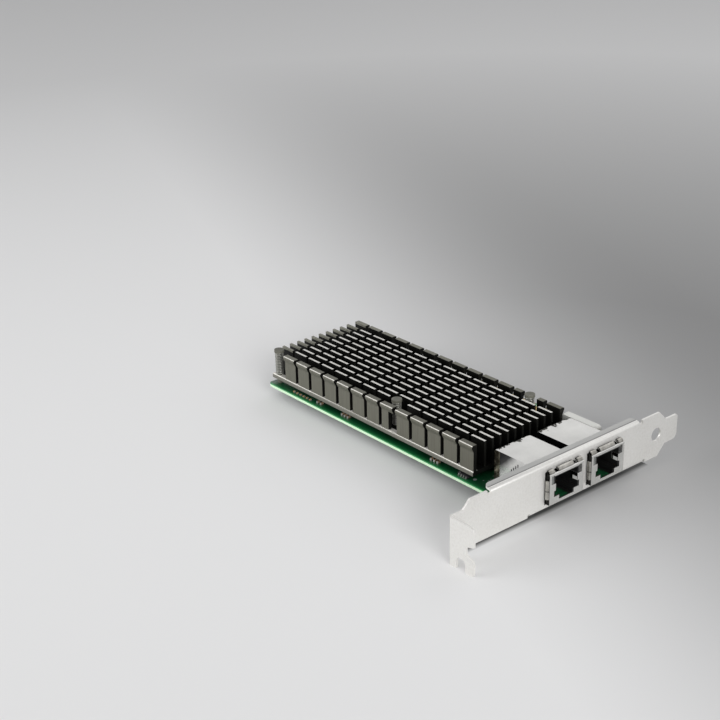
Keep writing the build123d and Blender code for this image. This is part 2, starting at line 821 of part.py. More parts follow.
# Filter can beside the far jack
can_rear_x = sink_front_x + can_setback
can_y = jack_far_y + jack_width / 2 + can_side_gap + can_size[1] / 2
with BuildPart() as filter_can:
    with BuildSketch(Plane.XY.offset(board_top)):
        with Locations((can_rear_x + can_size[0] / 2, can_y)):
            Rectangle(can_size[0], can_size[1])
    extrude(amount=can_size[2])
    can_front_top = nearest_edge(filter_can, can_rear_x + can_size[0], can_y, board_top + can_size[2])
    fillet(can_front_top, radius=can_corner)
finish(filter_can, "filter_can")


# Screws that hold the board to the bracket's ears
with BuildPart() as bracket_screws:
    with BuildSketch(Plane.XY.offset(plate_low_z - screw_tip)):
        with Locations(*ear_screws):
            Circle(screw_radius)
    extrude(amount=screw_tip + sheet + board_thickness)
    with BuildSketch(Plane.XY.offset(board_top)):
        with Locations(*ear_screws):
            Circle(screw_head_radius)
    extrude(amount=screw_head_height)
    with BuildSketch(Plane.XY.offset(board_top + screw_head_height)):
        with Locations(*ear_screws):
            Rectangle(driver_length, driver_width)
            Rectangle(driver_width, driver_length)
    extrude(amount=-driver_depth, mode=Mode.SUBTRACT)
finish(bracket_screws, "bracket_screws")


# Plain surface-mounted parts, each group from its list of places
resistor_places = [(resistor_start[0] + i * resistor_pitch, resistor_start[1]) for i in range(resistor_count)]
capacitor_xy = [from_near((x, capacitor_margin)) for x in capacitor_places]
capacitor_xy += [from_far((x, far_capacitor_margin)) for x in far_capacitor_places]
coupling_x = [-coupling_start - i * coupling_pitch for i in range(coupling_count)]
for group_name, part_size, places in (
    ("resistors", resistor_size, [from_near(place) for place in resistor_places]),
    ("capacitors", capacitor_size, capacitor_xy),
    ("coupling_capacitors", coupling_size, [(x, far_edge_y - coupling_margin) for x in coupling_x]),
):
    with BuildPart() as small_parts:
        with BuildSketch(Plane.XY.offset(board_top)):
            with Locations(*places):
                Rectangle(part_size[0], part_size[1])
        extrude(amount=part_size[2])
    finish(small_parts, group_name)

with BuildPart() as decoupling_capacitors:
    with BuildSketch(Plane.XY.offset(board_bottom)):
        with Locations(controller_xy):
            with GridLocations(
                decoupling_pitch, decoupling_pitch, decoupling_column_count, decoupling_row_count
            ):
                Rectangle(decoupling_size[0], decoupling_size[1])
    extrude(amount=-decoupling_size[2])
finish(decoupling_capacitors, "decoupling_capacitors")

with BuildPart() as power_inductors:
    with BuildSketch(Plane.XY.offset(board_top)) as inductor_outline:
        with Locations(*[from_far((x, inductor_margin)) for x in inductor_places]):
            Rectangle(inductor_size[0], inductor_size[1])
        chamfer(inductor_outline.vertices(), length=inductor_corner)
    extrude(amount=inductor_size[2])
finish(power_inductors, "power_inductors")

with BuildPart() as clock_crystal:
    crystal_xy = from_far(crystal_place)
    with BuildSketch(Plane.XY.offset(board_top)):
        with Locations(crystal_xy):
            Rectangle(crystal_size[0], crystal_size[1])
    extrude(amount=crystal_size[2])
    with BuildSketch(Plane.XY.offset(board_top + crystal_size[2])):
        with Locations(crystal_xy):
            Rectangle(crystal_size[0] - 2 * crystal_lid_margin, crystal_size[1] - 2 * crystal_lid_margin)
    extrude(amount=crystal_lid)
finish(clock_crystal, "clock_crystal")


# Chips with a row of bent leads along both long sides
flash_leads = (flash_lead_count, flash_lead_pitch, flash_lead_length)
buffer_leads = (buffer_lead_count, buffer_lead_pitch, buffer_lead_length)
for chip_name, chip_xy, size, leads in (
    ("flash_chip", from_far(flash_place), flash_size, flash_leads),
    ("buffer_chip", from_near(buffer_place), buffer_size, buffer_leads),
):
    lead_count, lead_pitch, lead_length = leads
    with BuildPart() as leaded_chip:
        with BuildSketch(Plane.XY.offset(board_top)):
            with Locations(chip_xy):
                Rectangle(size[0], size[1])
        extrude(amount=size[2])
        for side in (1, -1):
            for lead in range(lead_count):
                lead_x = chip_xy[0] + (lead - (lead_count - 1) / 2) * lead_pitch
                lead_plane = Plane((lead_x, chip_xy[1], board_top), x_dir=(0, side, 0), z_dir=(side, 0, 0))
                reach = size[1] / 2 + lead_length
                with BuildSketch(lead_plane):
                    with BuildLine():
                        Polyline(
                            (size[1] / 2, lead_rise),
                            (reach - lead_foot - lead_thickness, lead_rise),
                            (reach - lead_foot - lead_thickness, 0),
                            (reach, 0),
                            (reach, lead_thickness),
                            (reach - lead_foot, lead_thickness),
                            (reach - lead_foot, lead_rise + lead_thickness),
                            (size[1] / 2, lead_rise + lead_thickness),
                            close=True,
                        )
                    make_face()
                extrude(amount=lead_width / 2, both=True)
    finish(leaded_chip, chip_name)
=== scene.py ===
"""Looks of a low-profile network interface card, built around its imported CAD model."""
import json
import math
import random

import bmesh
import bpy
from mathutils import Matrix, Vector


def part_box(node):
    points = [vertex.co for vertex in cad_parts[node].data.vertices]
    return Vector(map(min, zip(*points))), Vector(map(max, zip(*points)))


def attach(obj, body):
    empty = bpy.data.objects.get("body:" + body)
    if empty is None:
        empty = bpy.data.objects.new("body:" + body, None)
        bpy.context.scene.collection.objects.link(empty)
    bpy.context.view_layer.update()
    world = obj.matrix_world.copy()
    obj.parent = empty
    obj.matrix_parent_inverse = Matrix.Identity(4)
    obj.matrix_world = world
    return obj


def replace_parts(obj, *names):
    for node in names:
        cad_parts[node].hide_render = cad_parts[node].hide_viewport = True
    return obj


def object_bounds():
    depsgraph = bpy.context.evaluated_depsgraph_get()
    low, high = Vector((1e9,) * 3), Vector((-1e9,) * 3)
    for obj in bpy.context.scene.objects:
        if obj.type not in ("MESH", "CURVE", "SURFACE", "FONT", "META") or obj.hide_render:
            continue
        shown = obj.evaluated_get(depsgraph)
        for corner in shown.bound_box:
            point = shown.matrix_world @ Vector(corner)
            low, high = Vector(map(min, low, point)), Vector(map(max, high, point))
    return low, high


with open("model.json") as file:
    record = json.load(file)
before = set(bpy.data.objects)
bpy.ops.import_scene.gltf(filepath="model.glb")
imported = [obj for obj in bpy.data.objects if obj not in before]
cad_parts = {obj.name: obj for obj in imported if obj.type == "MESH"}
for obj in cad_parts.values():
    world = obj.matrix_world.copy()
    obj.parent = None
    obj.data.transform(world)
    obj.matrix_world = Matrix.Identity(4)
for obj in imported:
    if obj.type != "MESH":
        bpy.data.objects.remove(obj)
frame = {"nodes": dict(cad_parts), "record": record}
cad_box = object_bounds()
nodes = frame["nodes"]
MM = 0.001
UP = Vector((0, 0, 1))
JACKS = ("near", "far")


# Reading the frame

WELD = 1e-6


def islands(name):
    """Boxes (low, high) of the separate solids of a CAD node, in the row frame."""
    mesh = bmesh.new()
    mesh.from_mesh(nodes[name].data)
    bmesh.ops.remove_doubles(mesh, verts=mesh.verts, dist=WELD)
    left = set(mesh.verts)
    boxes = []
    while left:
        group = [left.pop()]
        found = list(group)
        while group:
            for edge in group.pop().link_edges:
                for vert in edge.verts:
                    if vert in left:
                        left.discard(vert)
                        group.append(vert)
                        found.append(vert)
        low = Vector([min(vert.co[i] for vert in found) for i in range(3)])
        high = Vector([max(vert.co[i] for vert in found) for i in range(3)])
        boxes.append((low, high))
    mesh.free()
    return sorted(boxes, key=lambda box: tuple(box[0]))


def middle_y(name):
    """Middle of a CAD node along Y."""
    low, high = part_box(name)
    return (low.y + high.y) / 2


# The bracket plate's inner face lies this far behind the tip of its tab
PLATE_SETBACK = 12.3 * MM
plate_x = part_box("bracket")[1].x - PLATE_SETBACK


# Materials

class Shader:
    """A procedural material: its nodes are added one at a time."""

    def __init__(self, name, **sockets):
        self.material = bpy.data.materials.new(name)
        self.material.use_nodes = True
        self.tree = self.material.node_tree
        self.surface = self.tree.nodes["Principled BSDF"]
        for socket, value in sockets.items():
            self.surface.inputs[socket.replace("_", " ")].default_value = value
        self.place = self.add("ShaderNodeTexCoord").outputs["Object"]

    def add(self, kind, **settings):
        node = self.tree.nodes.new(kind)
        for key, value in settings.items():
            setattr(node, key, value)
        return node

    def link(self, output, target):
        self.tree.links.new(output, target)

    def feed(self, node, key, value):
        """Gives a socket a constant, or links another node's output to it."""
        if isinstance(value, bpy.types.NodeSocket):
            self.link(value, node.inputs[key])
        else:
            node.inputs[key].default_value = value

    # Sums on values and masks

    def math(self, operation, a, b=0.0, clamp=False):
        node = self.add("ShaderNodeMath", operation=operation, use_clamp=clamp)
        self.feed(node, 0, a)
        self.feed(node, 1, b)
        return node.outputs[0]

    def plus(self, a, b, clamp=False):
        return self.math("ADD", a, b, clamp)

    def minus(self, a, b, clamp=False):
        return self.math("SUBTRACT", a, b, clamp)

    def times(self, a, b, clamp=False):
        return self.math("MULTIPLY", a, b, clamp)

    def over(self, a, b, clamp=False):
        return self.math("DIVIDE", a, b, clamp)

    def unsigned(self, value):
        return self.math("ABSOLUTE", value)

    def above(self, value, limit):
        """1 where a value is above a limit, 0 elsewhere."""
        return self.math("GREATER_THAN", value, limit)

    def below(self, value, limit):
        """1 where a value is below a limit, 0 elsewhere."""
        return self.math("LESS_THAN", value, limit)

    def about(self, value, level, band):
        """1 where a value is within a band of a level, 0 elsewhere."""
        output = self.math("COMPARE", value, level)
        output.node.inputs[2].default_value = band
        return output

    def both(self, *masks):
        """1 where every mask is 1."""
        result = masks[0]
        for mask in masks[1:]:
            result = self.math("MULTIPLY", result, mask)
        return result

    def either(self, *masks):
        """1 where any mask is 1."""
        result = masks[0]
        for mask in masks[1:]:
            result = self.math("MAXIMUM", result, mask)
        return result

    # Places, directions and patterns

    def split(self, output, axis):
        node = self.add("ShaderNodeSeparateXYZ")
        self.link(output, node.inputs[0])
        return node.outputs[axis]

    def along(self, axis):
        """Place along an axis, in metres."""
        return self.split(self.place, axis)

    def facing(self, axis):
        """The normal's share along an axis, from -1 to 1."""
        return self.split(self.add("ShaderNodeNewGeometry").outputs["Normal"], axis)

    def stretched(self, scale):
        node = self.add("ShaderNodeMapping")
        self.link(self.place, node.inputs["Vector"])
        node.inputs["Scale"].default_value = scale
        return node.outputs["Vector"]

    def noise(self, scale, detail=3.0, roughness=0.5, stretch=(1, 1, 1)):
        node = self.add("ShaderNodeTexNoise")
        self.link(self.stretched(stretch), node.inputs["Vector"])
        node.inputs["Scale"].default_value = scale
        node.inputs["Detail"].default_value = detail
        node.inputs["Roughness"].default_value = roughness
        return node.outputs["Fac"]

    # Tones

    def ramp(self, value, stops):
        node = self.add("ShaderNodeValToRGB")
        self.link(value, node.inputs["Fac"])
        ramp = node.color_ramp
        while len(ramp.elements) < len(stops):
            ramp.elements.new(0.5)
        for element, (position, colour) in zip(ramp.elements, stops):
            element.position = position
            element.color = (*colour, 1.0)
        return node.outputs["Color"]

    def blend(self, value, first, second, start=0.3, end=0.7):
        """Runs from one tone to another while a value runs from start to end."""
        return self.ramp(value, ((start, first), (end, second)))

    def mix(self, factor, a, b):
        """Tone a where the factor is 0, and tone b where it is 1."""
        node = self.add("ShaderNodeMix", data_type="RGBA")
        self.feed(node, 0, factor)
        for key, tone in ((6, a), (7, b)):
            linked = isinstance(tone, bpy.types.NodeSocket)
            self.feed(node, key, tone if linked else (*tone, 1.0))
        return node.outputs[2]

    # Sockets of the surface

    def colour(self, output):
        self.link(output, self.surface.inputs["Base Color"])

    def span(self, value, low, high):
        """Spreads a 0 to 1 value over a range."""
        node = self.add("ShaderNodeMapRange")
        self.link(value, node.inputs["Value"])
        node.inputs["To Min"].default_value = low
        node.inputs["To Max"].default_value = high
        return node.outputs["Result"]

    def rough(self, value, low, high):
        """Roughness that follows a 0 to 1 value between two levels."""
        self.link(self.span(value, low, high), self.surface.inputs["Roughness"])

    def bump(self, height, distance, strength=1.0):
        node = self.add("ShaderNodeBump")
        node.inputs["Strength"].default_value = strength
        node.inputs["Distance"].default_value = distance
        self.link(height, node.inputs["Height"])
        self.link(node.outputs["Normal"], self.surface.inputs["Normal"])


# Settings of the noise that repeats: scale per metre, detail and roughness
SMEARS = (120, 5, 0.6)
GRAIN = (2600, 3, 0.6)


def plated(name, dark, light, low, high, metallic, bump=0.00002):
    """Plated or bare sheet metal: cloudy tone, uneven gloss and a fine grain."""
    shader = Shader(name, Metallic=metallic)
    shader.colour(shader.blend(shader.noise(55, 4), dark, light))
    shader.rough(shader.noise(*SMEARS), low, high)
    shader.bump(shader.noise(*GRAIN), bump, 0.35)
    return shader.material


def moulded(name, dark, light, low, high, scale=900):
    """Moulded plastic, ceramic or ferrite: slight tone change and a fine skin."""
    shader = Shader(name)
    shader.colour(shader.blend(shader.noise(scale / 5, 3), dark, light))
    shader.rough(shader.noise(scale / 3, 3), low, high)
    shader.bump(shader.noise(scale * 4, 2), 0.00003, 0.4)
    return shader.material


# Least share of the normal along an axis, by the kind of face
FLAT = 0.9
UPRIGHT = 0.7
CHAMFER = 0.45
SLOPED = 0.2
OUTWARD = 0.2

# Heatsink: widths and heights of its parts with painted sheen, painted shade and painted highlights
OUTER_ROW = 3.0 * MM
COLUMN_LENGTH = 7.2 * MM
CUT_TOP = 0.2 * MM
SHEEN_BAND = 0.9 * MM
BASE_HEIGHT = 1.98 * MM
HIGHLIGHT_LINE = 0.26 * MM
NEAR_SHADE = 0.22
DRAWN_LINES = (420, 3, 0.55, (9, 9, 0.15))


def heatsink_metal():
    """Dark anodised extrusion: drawn lines and a painted sheen on the outer rows, bright cut tops,
    painted highlights on the edges.
    """
    shader = Shader("heatsink_dark", Metallic=0.35, Specular_IOR_Level=0.15)
    low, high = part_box("heatsink")
    middle = (low.y + high.y) / 2
    half = (high.y - low.y) / 2
    x, y, height = shader.along("X"), shader.along("Y"), shader.along("Z")
    upward = shader.facing("Z")

    # Tones: black channels, olive greys that paint the sheen of reflected light and darken towards
    # the bracket, bare cut metal
    lines = shader.noise(*DRAWN_LINES)
    black = shader.blend(lines, (0.004, 0.004, 0.003), (0.009, 0.009, 0.008))
    dark = shader.blend(lines, (0.008, 0.008, 0.007), (0.016, 0.016, 0.014))
    front = shader.blend(lines, (0.12, 0.117, 0.095), (0.175, 0.171, 0.14), 0.28, 0.72)
    rear = shader.blend(lines, (0.135, 0.133, 0.108), (0.188, 0.186, 0.154), 0.28, 0.72)
    rear_top_sheen = shader.blend(lines, (0.19, 0.187, 0.155), (0.26, 0.257, 0.216), 0.28, 0.72)
    run = shader.over(shader.minus(x, low.x), high.x - low.x, True)
    grey = shader.mix(run, rear, front)
    top_sheen_grey = shader.mix(run, rear_top_sheen, front)
    cut = shader.blend(shader.noise(900, 3), (0.6, 0.59, 0.55), (0.82, 0.81, 0.77))
    bright = shader.blend(shader.noise(1200, 3), (0.62, 0.61, 0.56), (0.84, 0.82, 0.77))

    # The two outer rows, and their faces that look away from the middle, which carry the painted
    # sheen
    from_middle = shader.minus(y, middle)
    outer_row = shader.above(shader.unsigned(from_middle), half - OUTER_ROW)
    outward = shader.times(from_middle, shader.facing("Y"))
    sheen_faces = shader.both(outer_row, shader.above(outward, OUTWARD * half))
    # Painted reflection: the outward faces are olive grey instead of black
    tone = shader.mix(sheen_faces, black, grey)

    # Flat tops: cut metal inside, painted sheen grey in the outer rows and in the last column, with
    # painted shade on their near half
    last_column = shader.below(x, low.x + COLUMN_LENGTH)
    near_half_shade = shader.times(shader.below(y, middle), NEAR_SHADE)
    uncut_top = shader.mix(near_half_shade, top_sheen_grey, (0.02, 0.02, 0.018))
    top_tone = shader.mix(shader.either(outer_row, last_column), cut, uncut_top)
    top = shader.above(height, high.z - CUT_TOP)
    tone = shader.mix(shader.both(top, shader.above(upward, FLAT)), tone, top_tone)
    # Painted sheen: the last column's upper band takes the top's sheen grey on all its faces
    sheen_band = shader.both(last_column, shader.above(height, high.z - SHEEN_BAND))
    tone = shader.mix(sheen_band, tone, top_sheen_grey)

    # The base's side in a lighter painted sheen, and painted highlights along its edge and along
    # the chamfers
    foot = shader.below(height, low.z + BASE_HEIGHT)
    band_tone = shader.mix(0.35, grey, (0.3, 0.29, 0.27))
    tone = shader.mix(shader.both(foot, sheen_faces), tone, band_tone)
    near_edge = shader.above(height, low.z + BASE_HEIGHT - 1.5 * HIGHLIGHT_LINE)
    ledge_highlight = shader.both(foot, shader.above(upward, SLOPED), near_edge, outer_row)
    slanted = shader.both(shader.above(upward, CHAMFER), shader.below(upward, FLAT))
    # Painted highlight along the chamfers at the top of the outward faces
    rim = shader.both(slanted, shader.above(height, high.z - HIGHLIGHT_LINE), sheen_faces)
    tone = shader.mix(shader.either(ledge_highlight, rim), tone, bright)

    # Painted shade: faces turned along X are near-black
    shaded_end_faces = shader.above(shader.unsigned(shader.facing("X")), UPRIGHT)
    shader.colour(shader.mix(shaded_end_faces, tone, dark))
    shader.rough(lines, 0.38, 0.55)
    shader.bump(lines, 0.00003, 0.5)
    return shader.material


# Jack shields: springs stand off the wall, and what lies close to the wall behind them gets painted
# shade
FINGER_RISE = 0.4 * MM
WALL_BAND = 0.06 * MM
MOUTH_INSET = 2 * MM
FRONT_FACE = 0.8
TOP_FACE = 0.3
# Painted reflection on the sides: what its forward run, its drop, its swirls and its start count
# for
REFLECTION_RUN = 1.9
REFLECTION_DROP = 0.9
REFLECTION_SWIRL = 0.35
REFLECTION_START = 0.35
REAR_STRIP = 0.11
SIDE_REFLECTION_TONES = ((0.2, (0.022, 0.022, 0.022)), (0.42, (0.07, 0.07, 0.07)), (0.75, (0.9, 0.89, 0.87)))
# Painted reflection of the fins on the top, as ragged marks: the level of the noise at the rear
# edge, and its growth forwards
FIN_REFLECTION_LEVEL = 0.37
FIN_REFLECTION_GROWTH = 2.6


def shield_sheet():
    """Bright plated sheet, with painted reflections on the sides and on the top's rear edge, and
    painted shade behind the springs, inside the mouths and in the gap.
    """
    shader = Shader("shield_metal", Metallic=0.85)
    near_low, near_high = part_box("jack_shield_near")
    far_low, far_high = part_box("jack_shield_far")
    middle = (near_low.y + far_high.y) / 2
    offset = (far_low.y + far_high.y - near_low.y - near_high.y) / 4
    wall = (near_high.y - near_low.y) / 2 - FINGER_RISE
    roof = near_high.z - FINGER_RISE
    x, height = shader.along("X"), shader.along("Z")
    from_middle = shader.unsigned(shader.minus(shader.along("Y"), middle))
    across = shader.unsigned(shader.minus(from_middle, offset))
    side = shader.above(shader.unsigned(shader.facing("Y")), UPRIGHT)
    behind = shader.below(x, plate_x)
    depth = shader.over(shader.minus(x, near_low.x), plate_x - near_low.x)
    drop = shader.over(shader.minus(roof, height), roof)

    # Sides: a painted reflection, dark at the rear and below and bright towards the bracket, with a
    # brownish dark strip at the very rear
    side_reflection = shader.plus(shader.times(depth, REFLECTION_RUN), shader.times(drop, REFLECTION_DROP))
    reflection_swirl = shader.times(shader.noise(110, 2, 0.4, (1, 1, 1.4)), REFLECTION_SWIRL)
    side_reflection = shader.minus(shader.plus(side_reflection, reflection_swirl), REFLECTION_START, True)
    rear_strip_tone = shader.blend(shader.noise(500, 3), (0.05, 0.04, 0.02), (0.2, 0.185, 0.14), 0.35, 0.6)
    side_reflection_tone = shader.mix(shader.below(depth, REAR_STRIP), shader.ramp(side_reflection, SIDE_REFLECTION_TONES), rear_strip_tone)
    bright = shader.blend(shader.noise(70, 3), (0.71, 0.705, 0.68), (0.85, 0.845, 0.815))
    tone = shader.mix(shader.both(side, behind), bright, side_reflection_tone)

    # Top: painted reflection of the fins, as dark ragged marks that thin out from the rear edge
    patches = shader.noise(400, 3, 0.6, (0.5, 1, 1))
    fin_reflection = shader.above(patches, shader.plus(shader.times(depth, FIN_REFLECTION_GROWTH), FIN_REFLECTION_LEVEL))
    fin_reflection_marks = shader.both(fin_reflection, shader.above(shader.facing("Z"), TOP_FACE))
    tone = shader.mix(fin_reflection_marks, tone, (0.025, 0.023, 0.015))

    # Painted shade: between the jacks, behind the springs and inside the mouths
    gap_shade = shader.both(side, behind, shader.below(from_middle, offset))
    on_wall = shader.about(across, wall, WALL_BAND)
    on_roof = shader.about(height, roof, WALL_BAND)
    inside = shader.both(shader.below(across, wall - MOUTH_INSET), side)
    ahead = shader.both(shader.minus(1.0, behind), shader.below(shader.facing("X"), FRONT_FACE))
    hollow_shade = shader.both(ahead, shader.either(on_wall, on_roof, inside))
    shader.colour(shader.mix(shader.either(gap_shade, hollow_shade), tone, (0.014, 0.014, 0.013)))
    shader.rough(shader.noise(*SMEARS), 0.08, 0.18)
    shader.bump(shader.noise(*GRAIN), 0.00001, 0.3)
    return shader.material


SHADED_DIP = 1.42 * MM


def bow_sheet():
    """Bright spring strip with painted shade where it dips towards the bracket's opening."""
    shader = Shader("spring_bow", Metallic=0.8)
    patches = shader.noise(380, 2)
    tone = shader.blend(patches, (0.29, 0.28, 0.255), (0.5, 0.485, 0.45), 0.36, 0.62)
    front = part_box("jack_shield_near")[1].x
    # Painted shade on the part of the strip nearest the bracket
    dip_shade = shader.below(shader.along("X"), front - SHADED_DIP)
    shader.colour(shader.mix(dip_shade, tone, (0.02, 0.02, 0.018)))
    shader.rough(shader.noise(300, 3), 0.12, 0.26)
    return shader.material


# Bracket: the bend of its stiffener, the painted shade line next to the bend and its level face
BEND = 0.8 * MM
BEND_SHADE = 0.5 * MM
LEVEL_FACE = 0.95
SPANGLE_TONES = ((0.36, (0.745, 0.73, 0.7)), (0.5, (0.79, 0.78, 0.75)),
                 (0.64, (0.825, 0.815, 0.79)))


def bracket_sheet():
    """Zinc-plated sheet with a fine spangle; the stiffener's level top is a brushed tone darkened
    by painted shade, with a painted shade line next to the bend.
    """
    shader = Shader("bracket_steel", Metallic=0.5)
    x = shader.along("X")
    fine = shader.times(shader.noise(1100, 3, 0.6), 0.6)
    spangle = shader.plus(fine, shader.times(shader.noise(40, 2), 0.4))
    bright = shader.ramp(spangle, SPANGLE_TONES)
    brushed = shader.noise(300, 3, 0.5, (1, 0.15, 1))
    dull_shaded = shader.blend(brushed, (0.4, 0.4, 0.39), (0.5, 0.5, 0.485))
    # Painted shade: a dark line next to the bend, and the level top of the stiffener darkened
    crease_shade = shader.above(x, plate_x - BEND - BEND_SHADE)
    dull_shaded = shader.mix(crease_shade, dull_shaded, (0.17, 0.17, 0.165))
    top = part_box("bracket")[1].z
    shaded_flange_top = shader.both(shader.below(x, plate_x - BEND),
                         shader.above(shader.facing("Z"), LEVEL_FACE),
                         shader.above(shader.along("Z"), top - BEND))
    shader.colour(shader.mix(shaded_flange_top, bright, dull_shaded))
    shader.rough(shader.noise(*SMEARS), 0.3, 0.44)
    shader.bump(shader.noise(*GRAIN, (1, 0.3, 1)), 0.00002, 0.35)
    return shader.material


def light_windows():
    """Clear plastic, darker on the side of each mouth that is turned away from the light."""
    shader = Shader("light_pipe", Coat_Weight=0.3)
    near, far = [middle_y("jack_housing_" + jack) for jack in JACKS]
    y = shader.along("Y")
    turned = shader.minus(shader.above(y, near), shader.above(y, (near + far) / 2))
    turned = shader.plus(turned, shader.above(y, far))
    grey = shader.blend(shader.noise(400, 3), (0.11, 0.115, 0.11), (0.2, 0.205, 0.195))
    dark = shader.blend(shader.noise(700, 3), (0.02, 0.02, 0.02), (0.09, 0.09, 0.085), 0.4, 0.65)
    shader.colour(shader.mix(turned, grey, dark))
    shader.rough(shader.noise(300, 3), 0.15, 0.3)
    return shader.material


# Board: a painted highlight reaches in from the near edge by EDGE_HIGHLIGHT, and its cut face is
# green above EDGE_SPLIT
EDGE_HIGHLIGHT = 2.4 * MM
EDGE_SPLIT = 0.3 * MM
EDGE_WAVE = 0.1 * MM
ROUTES = {"Scale": 260, "Mortar Size": 0.012, "Brick Width": 1.9, "Row Height": 0.13}


def board_laminate():
    """Green solder mask over faint copper routes, with a painted highlight along the near edge; the
    cut edge is green above and pale below.
    """
    shader = Shader("board_green", Coat_Weight=0.5, Coat_Roughness=0.15)
    mask = shader.blend(shader.noise(90, 3), (0.001, 0.032, 0.01), (0.002, 0.056, 0.018))
    route = shader.add("ShaderNodeTexBrick", offset=0.37, squash=1.7, squash_frequency=3)
    shader.link(shader.stretched((1, 1, 0)), route.inputs["Vector"])
    for socket, value in ROUTES.items():
        route.inputs[socket].default_value = value
    routed = shader.both(route.outputs["Fac"], shader.above(shader.noise(38, 2), 0.5))
    green = shader.mix(routed, mask, (0.005, 0.09, 0.03))
    near_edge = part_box("board")[0].y
    # Painted highlight: brighter green fading in from the near edge
    inward = shader.over(shader.minus(shader.along("Y"), near_edge), EDGE_HIGHLIGHT, True)
    edge_highlight = shader.math("POWER", shader.minus(1.0, inward), 1.5)
    green = shader.mix(edge_highlight, green, (0.01, 0.19, 0.052))
    fibre = shader.noise(1500, 3, 0.6, (1, 1, 5))
    upper = shader.blend(fibre, (0.005, 0.2, 0.04), (0.02, 0.36, 0.1))
    lower = shader.blend(fibre, (0.6, 0.89, 0.56), (0.78, 0.99, 0.76))
    level = shader.plus(shader.along("Z"), shader.span(fibre, -EDGE_WAVE, EDGE_WAVE))
    edge = shader.mix(shader.above(level, EDGE_SPLIT), lower, upper)
    upright = shader.below(shader.unsigned(shader.facing("Z")), 0.5)
    shader.colour(shader.mix(upright, green, edge))
    shader.rough(shader.noise(200, 3), 0.3, 0.42)
    shader.bump(routed, 0.00002, 0.6)
    return shader.material


# Darkest and lightest tone, lowest and highest roughness, then metallic share and bump
PLATED = {
    "screw_steel": ((0.5, 0.5, 0.49), (0.66, 0.65, 0.63), 0.25, 0.4, 0.8),
    "contact_gold": ((0.72, 0.47, 0.16), (0.86, 0.6, 0.24), 0.2, 0.32, 0.8, 0.00001),
    "spring_steel": ((0.26, 0.26, 0.23), (0.4, 0.4, 0.37), 0.25, 0.4, 0.6),
    # tab_tip: near-white and barely metallic, a painted highlight on the tabs' lower ends
    "tab_tip": ((0.75, 0.75, 0.73), (0.9, 0.9, 0.88), 0.4, 0.5, 0.1),
    "tinned_metal": ((0.6, 0.6, 0.6), (0.76, 0.76, 0.75), 0.25, 0.45, 0.7),
    "can_metal": ((0.66, 0.66, 0.63), (0.78, 0.78, 0.745), 0.35, 0.5, 0.5),
    # chip_end: darker than bare tin, as painted shade
    "chip_end": ((0.3, 0.3, 0.29), (0.44, 0.43, 0.41), 0.3, 0.5, 0.6),
    "crystal_can": ((0.62, 0.61, 0.58), (0.75, 0.74, 0.7), 0.2, 0.3, 0.8),
}
# Darkest and lightest tone, lowest and highest roughness, then the fineness of the skin
MOULDED = {
    "pin_plastic": ((0.08, 0.08, 0.062), (0.17, 0.167, 0.137), 0.5, 0.65),
    "chip_package": ((0.014, 0.014, 0.015), (0.026, 0.026, 0.027), 0.5, 0.65, 1600),
    "pad_grey": ((0.3, 0.3, 0.32), (0.4, 0.4, 0.42), 0.7, 0.85, 500),
    "jack_plastic": ((0.006, 0.006, 0.006), (0.012, 0.012, 0.012), 0.3, 0.45),
    "inner_green": ((0.001, 0.01, 0.004), (0.009, 0.125, 0.044), 0.3, 0.5, 5200),
    "magnetics_plastic": ((0.012, 0.012, 0.012), (0.02, 0.02, 0.02), 0.5, 0.7),
    "resistor_body": ((0.34, 0.2, 0.07), (0.52, 0.34, 0.14), 0.3, 0.45, 1800),
    # ceramic_body: darkened as painted shade
    "ceramic_body": ((0.2, 0.13, 0.08), (0.33, 0.23, 0.14), 0.4, 0.55, 1800),
    "ferrite": ((0.045, 0.045, 0.05), (0.085, 0.085, 0.09), 0.55, 0.75, 1400),
    "print_white": ((0.62, 0.64, 0.6), (0.74, 0.75, 0.72), 0.5, 0.6, 1500),
}
materials = {
    "bracket_steel": bracket_sheet(),
    "board_green": board_laminate(),
    "heatsink_dark": heatsink_metal(),
    "shield_metal": shield_sheet(),
    "light_pipe": light_windows(),
    "spring_bow": bow_sheet(),
}
for name, settings in PLATED.items():
    materials[name] = plated(name, *settings)
for name, settings in MOULDED.items():
    materials[name] = moulded(name, *settings)
node_slots = {part["node"]: part["material_slot"] for part in frame["record"]["subparts"]}


def dress(name):
    """Gives a CAD node its slot's material."""
    for mesh_slot in nodes[name].material_slots:
        mesh_slot.material = materials[node_slots[name]]


SOFT_ANGLE = 32
SOFT_SEGMENTS = 2


def soften(name, width):
    """Rounds a CAD node's sharp edges by a modifier, so that they catch the light."""
    weld = nodes[name].modifiers.new("weld", "WELD")
    weld.merge_threshold = WELD
    bevel = nodes[name].modifiers.new("bevel", "BEVEL")
    bevel.width = width
    bevel.segments = SOFT_SEGMENTS
    bevel.limit_method = "ANGLE"
    bevel.angle_limit = math.radians(SOFT_ANGLE)
    bevel.harden_normals = True


# Mesh pieces

def piece(name, mesh, slot, smooth=False):
    """Makes an object from a bmesh, riding on the card."""
    data = bpy.data.meshes.new(name)
    mesh.to_mesh(data)
    mesh.free()
    data.materials.append(materials[slot])
    for polygon in data.polygons:
        polygon.use_smooth = smooth
    thing = bpy.data.objects.new(name, data)
    bpy.context.scene.collection.objects.link(thing)
    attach(thing, "root")
    return thing


def add_box(mesh, low, high, bevel=0.0):
    """Adds a box, with its edges rounded if bevel is set."""
    verts = bmesh.ops.create_cube(mesh, size=1.0)["verts"]
    bmesh.ops.scale(mesh, vec=high - low, verts=verts)
    bmesh.ops.translate(mesh, vec=(low + high) / 2, verts=verts)
    if bevel:
        edges = list({edge for vert in verts for edge in vert.link_edges})
        bmesh.ops.bevel(mesh, geom=edges, offset=bevel, segments=2, affect="EDGES")


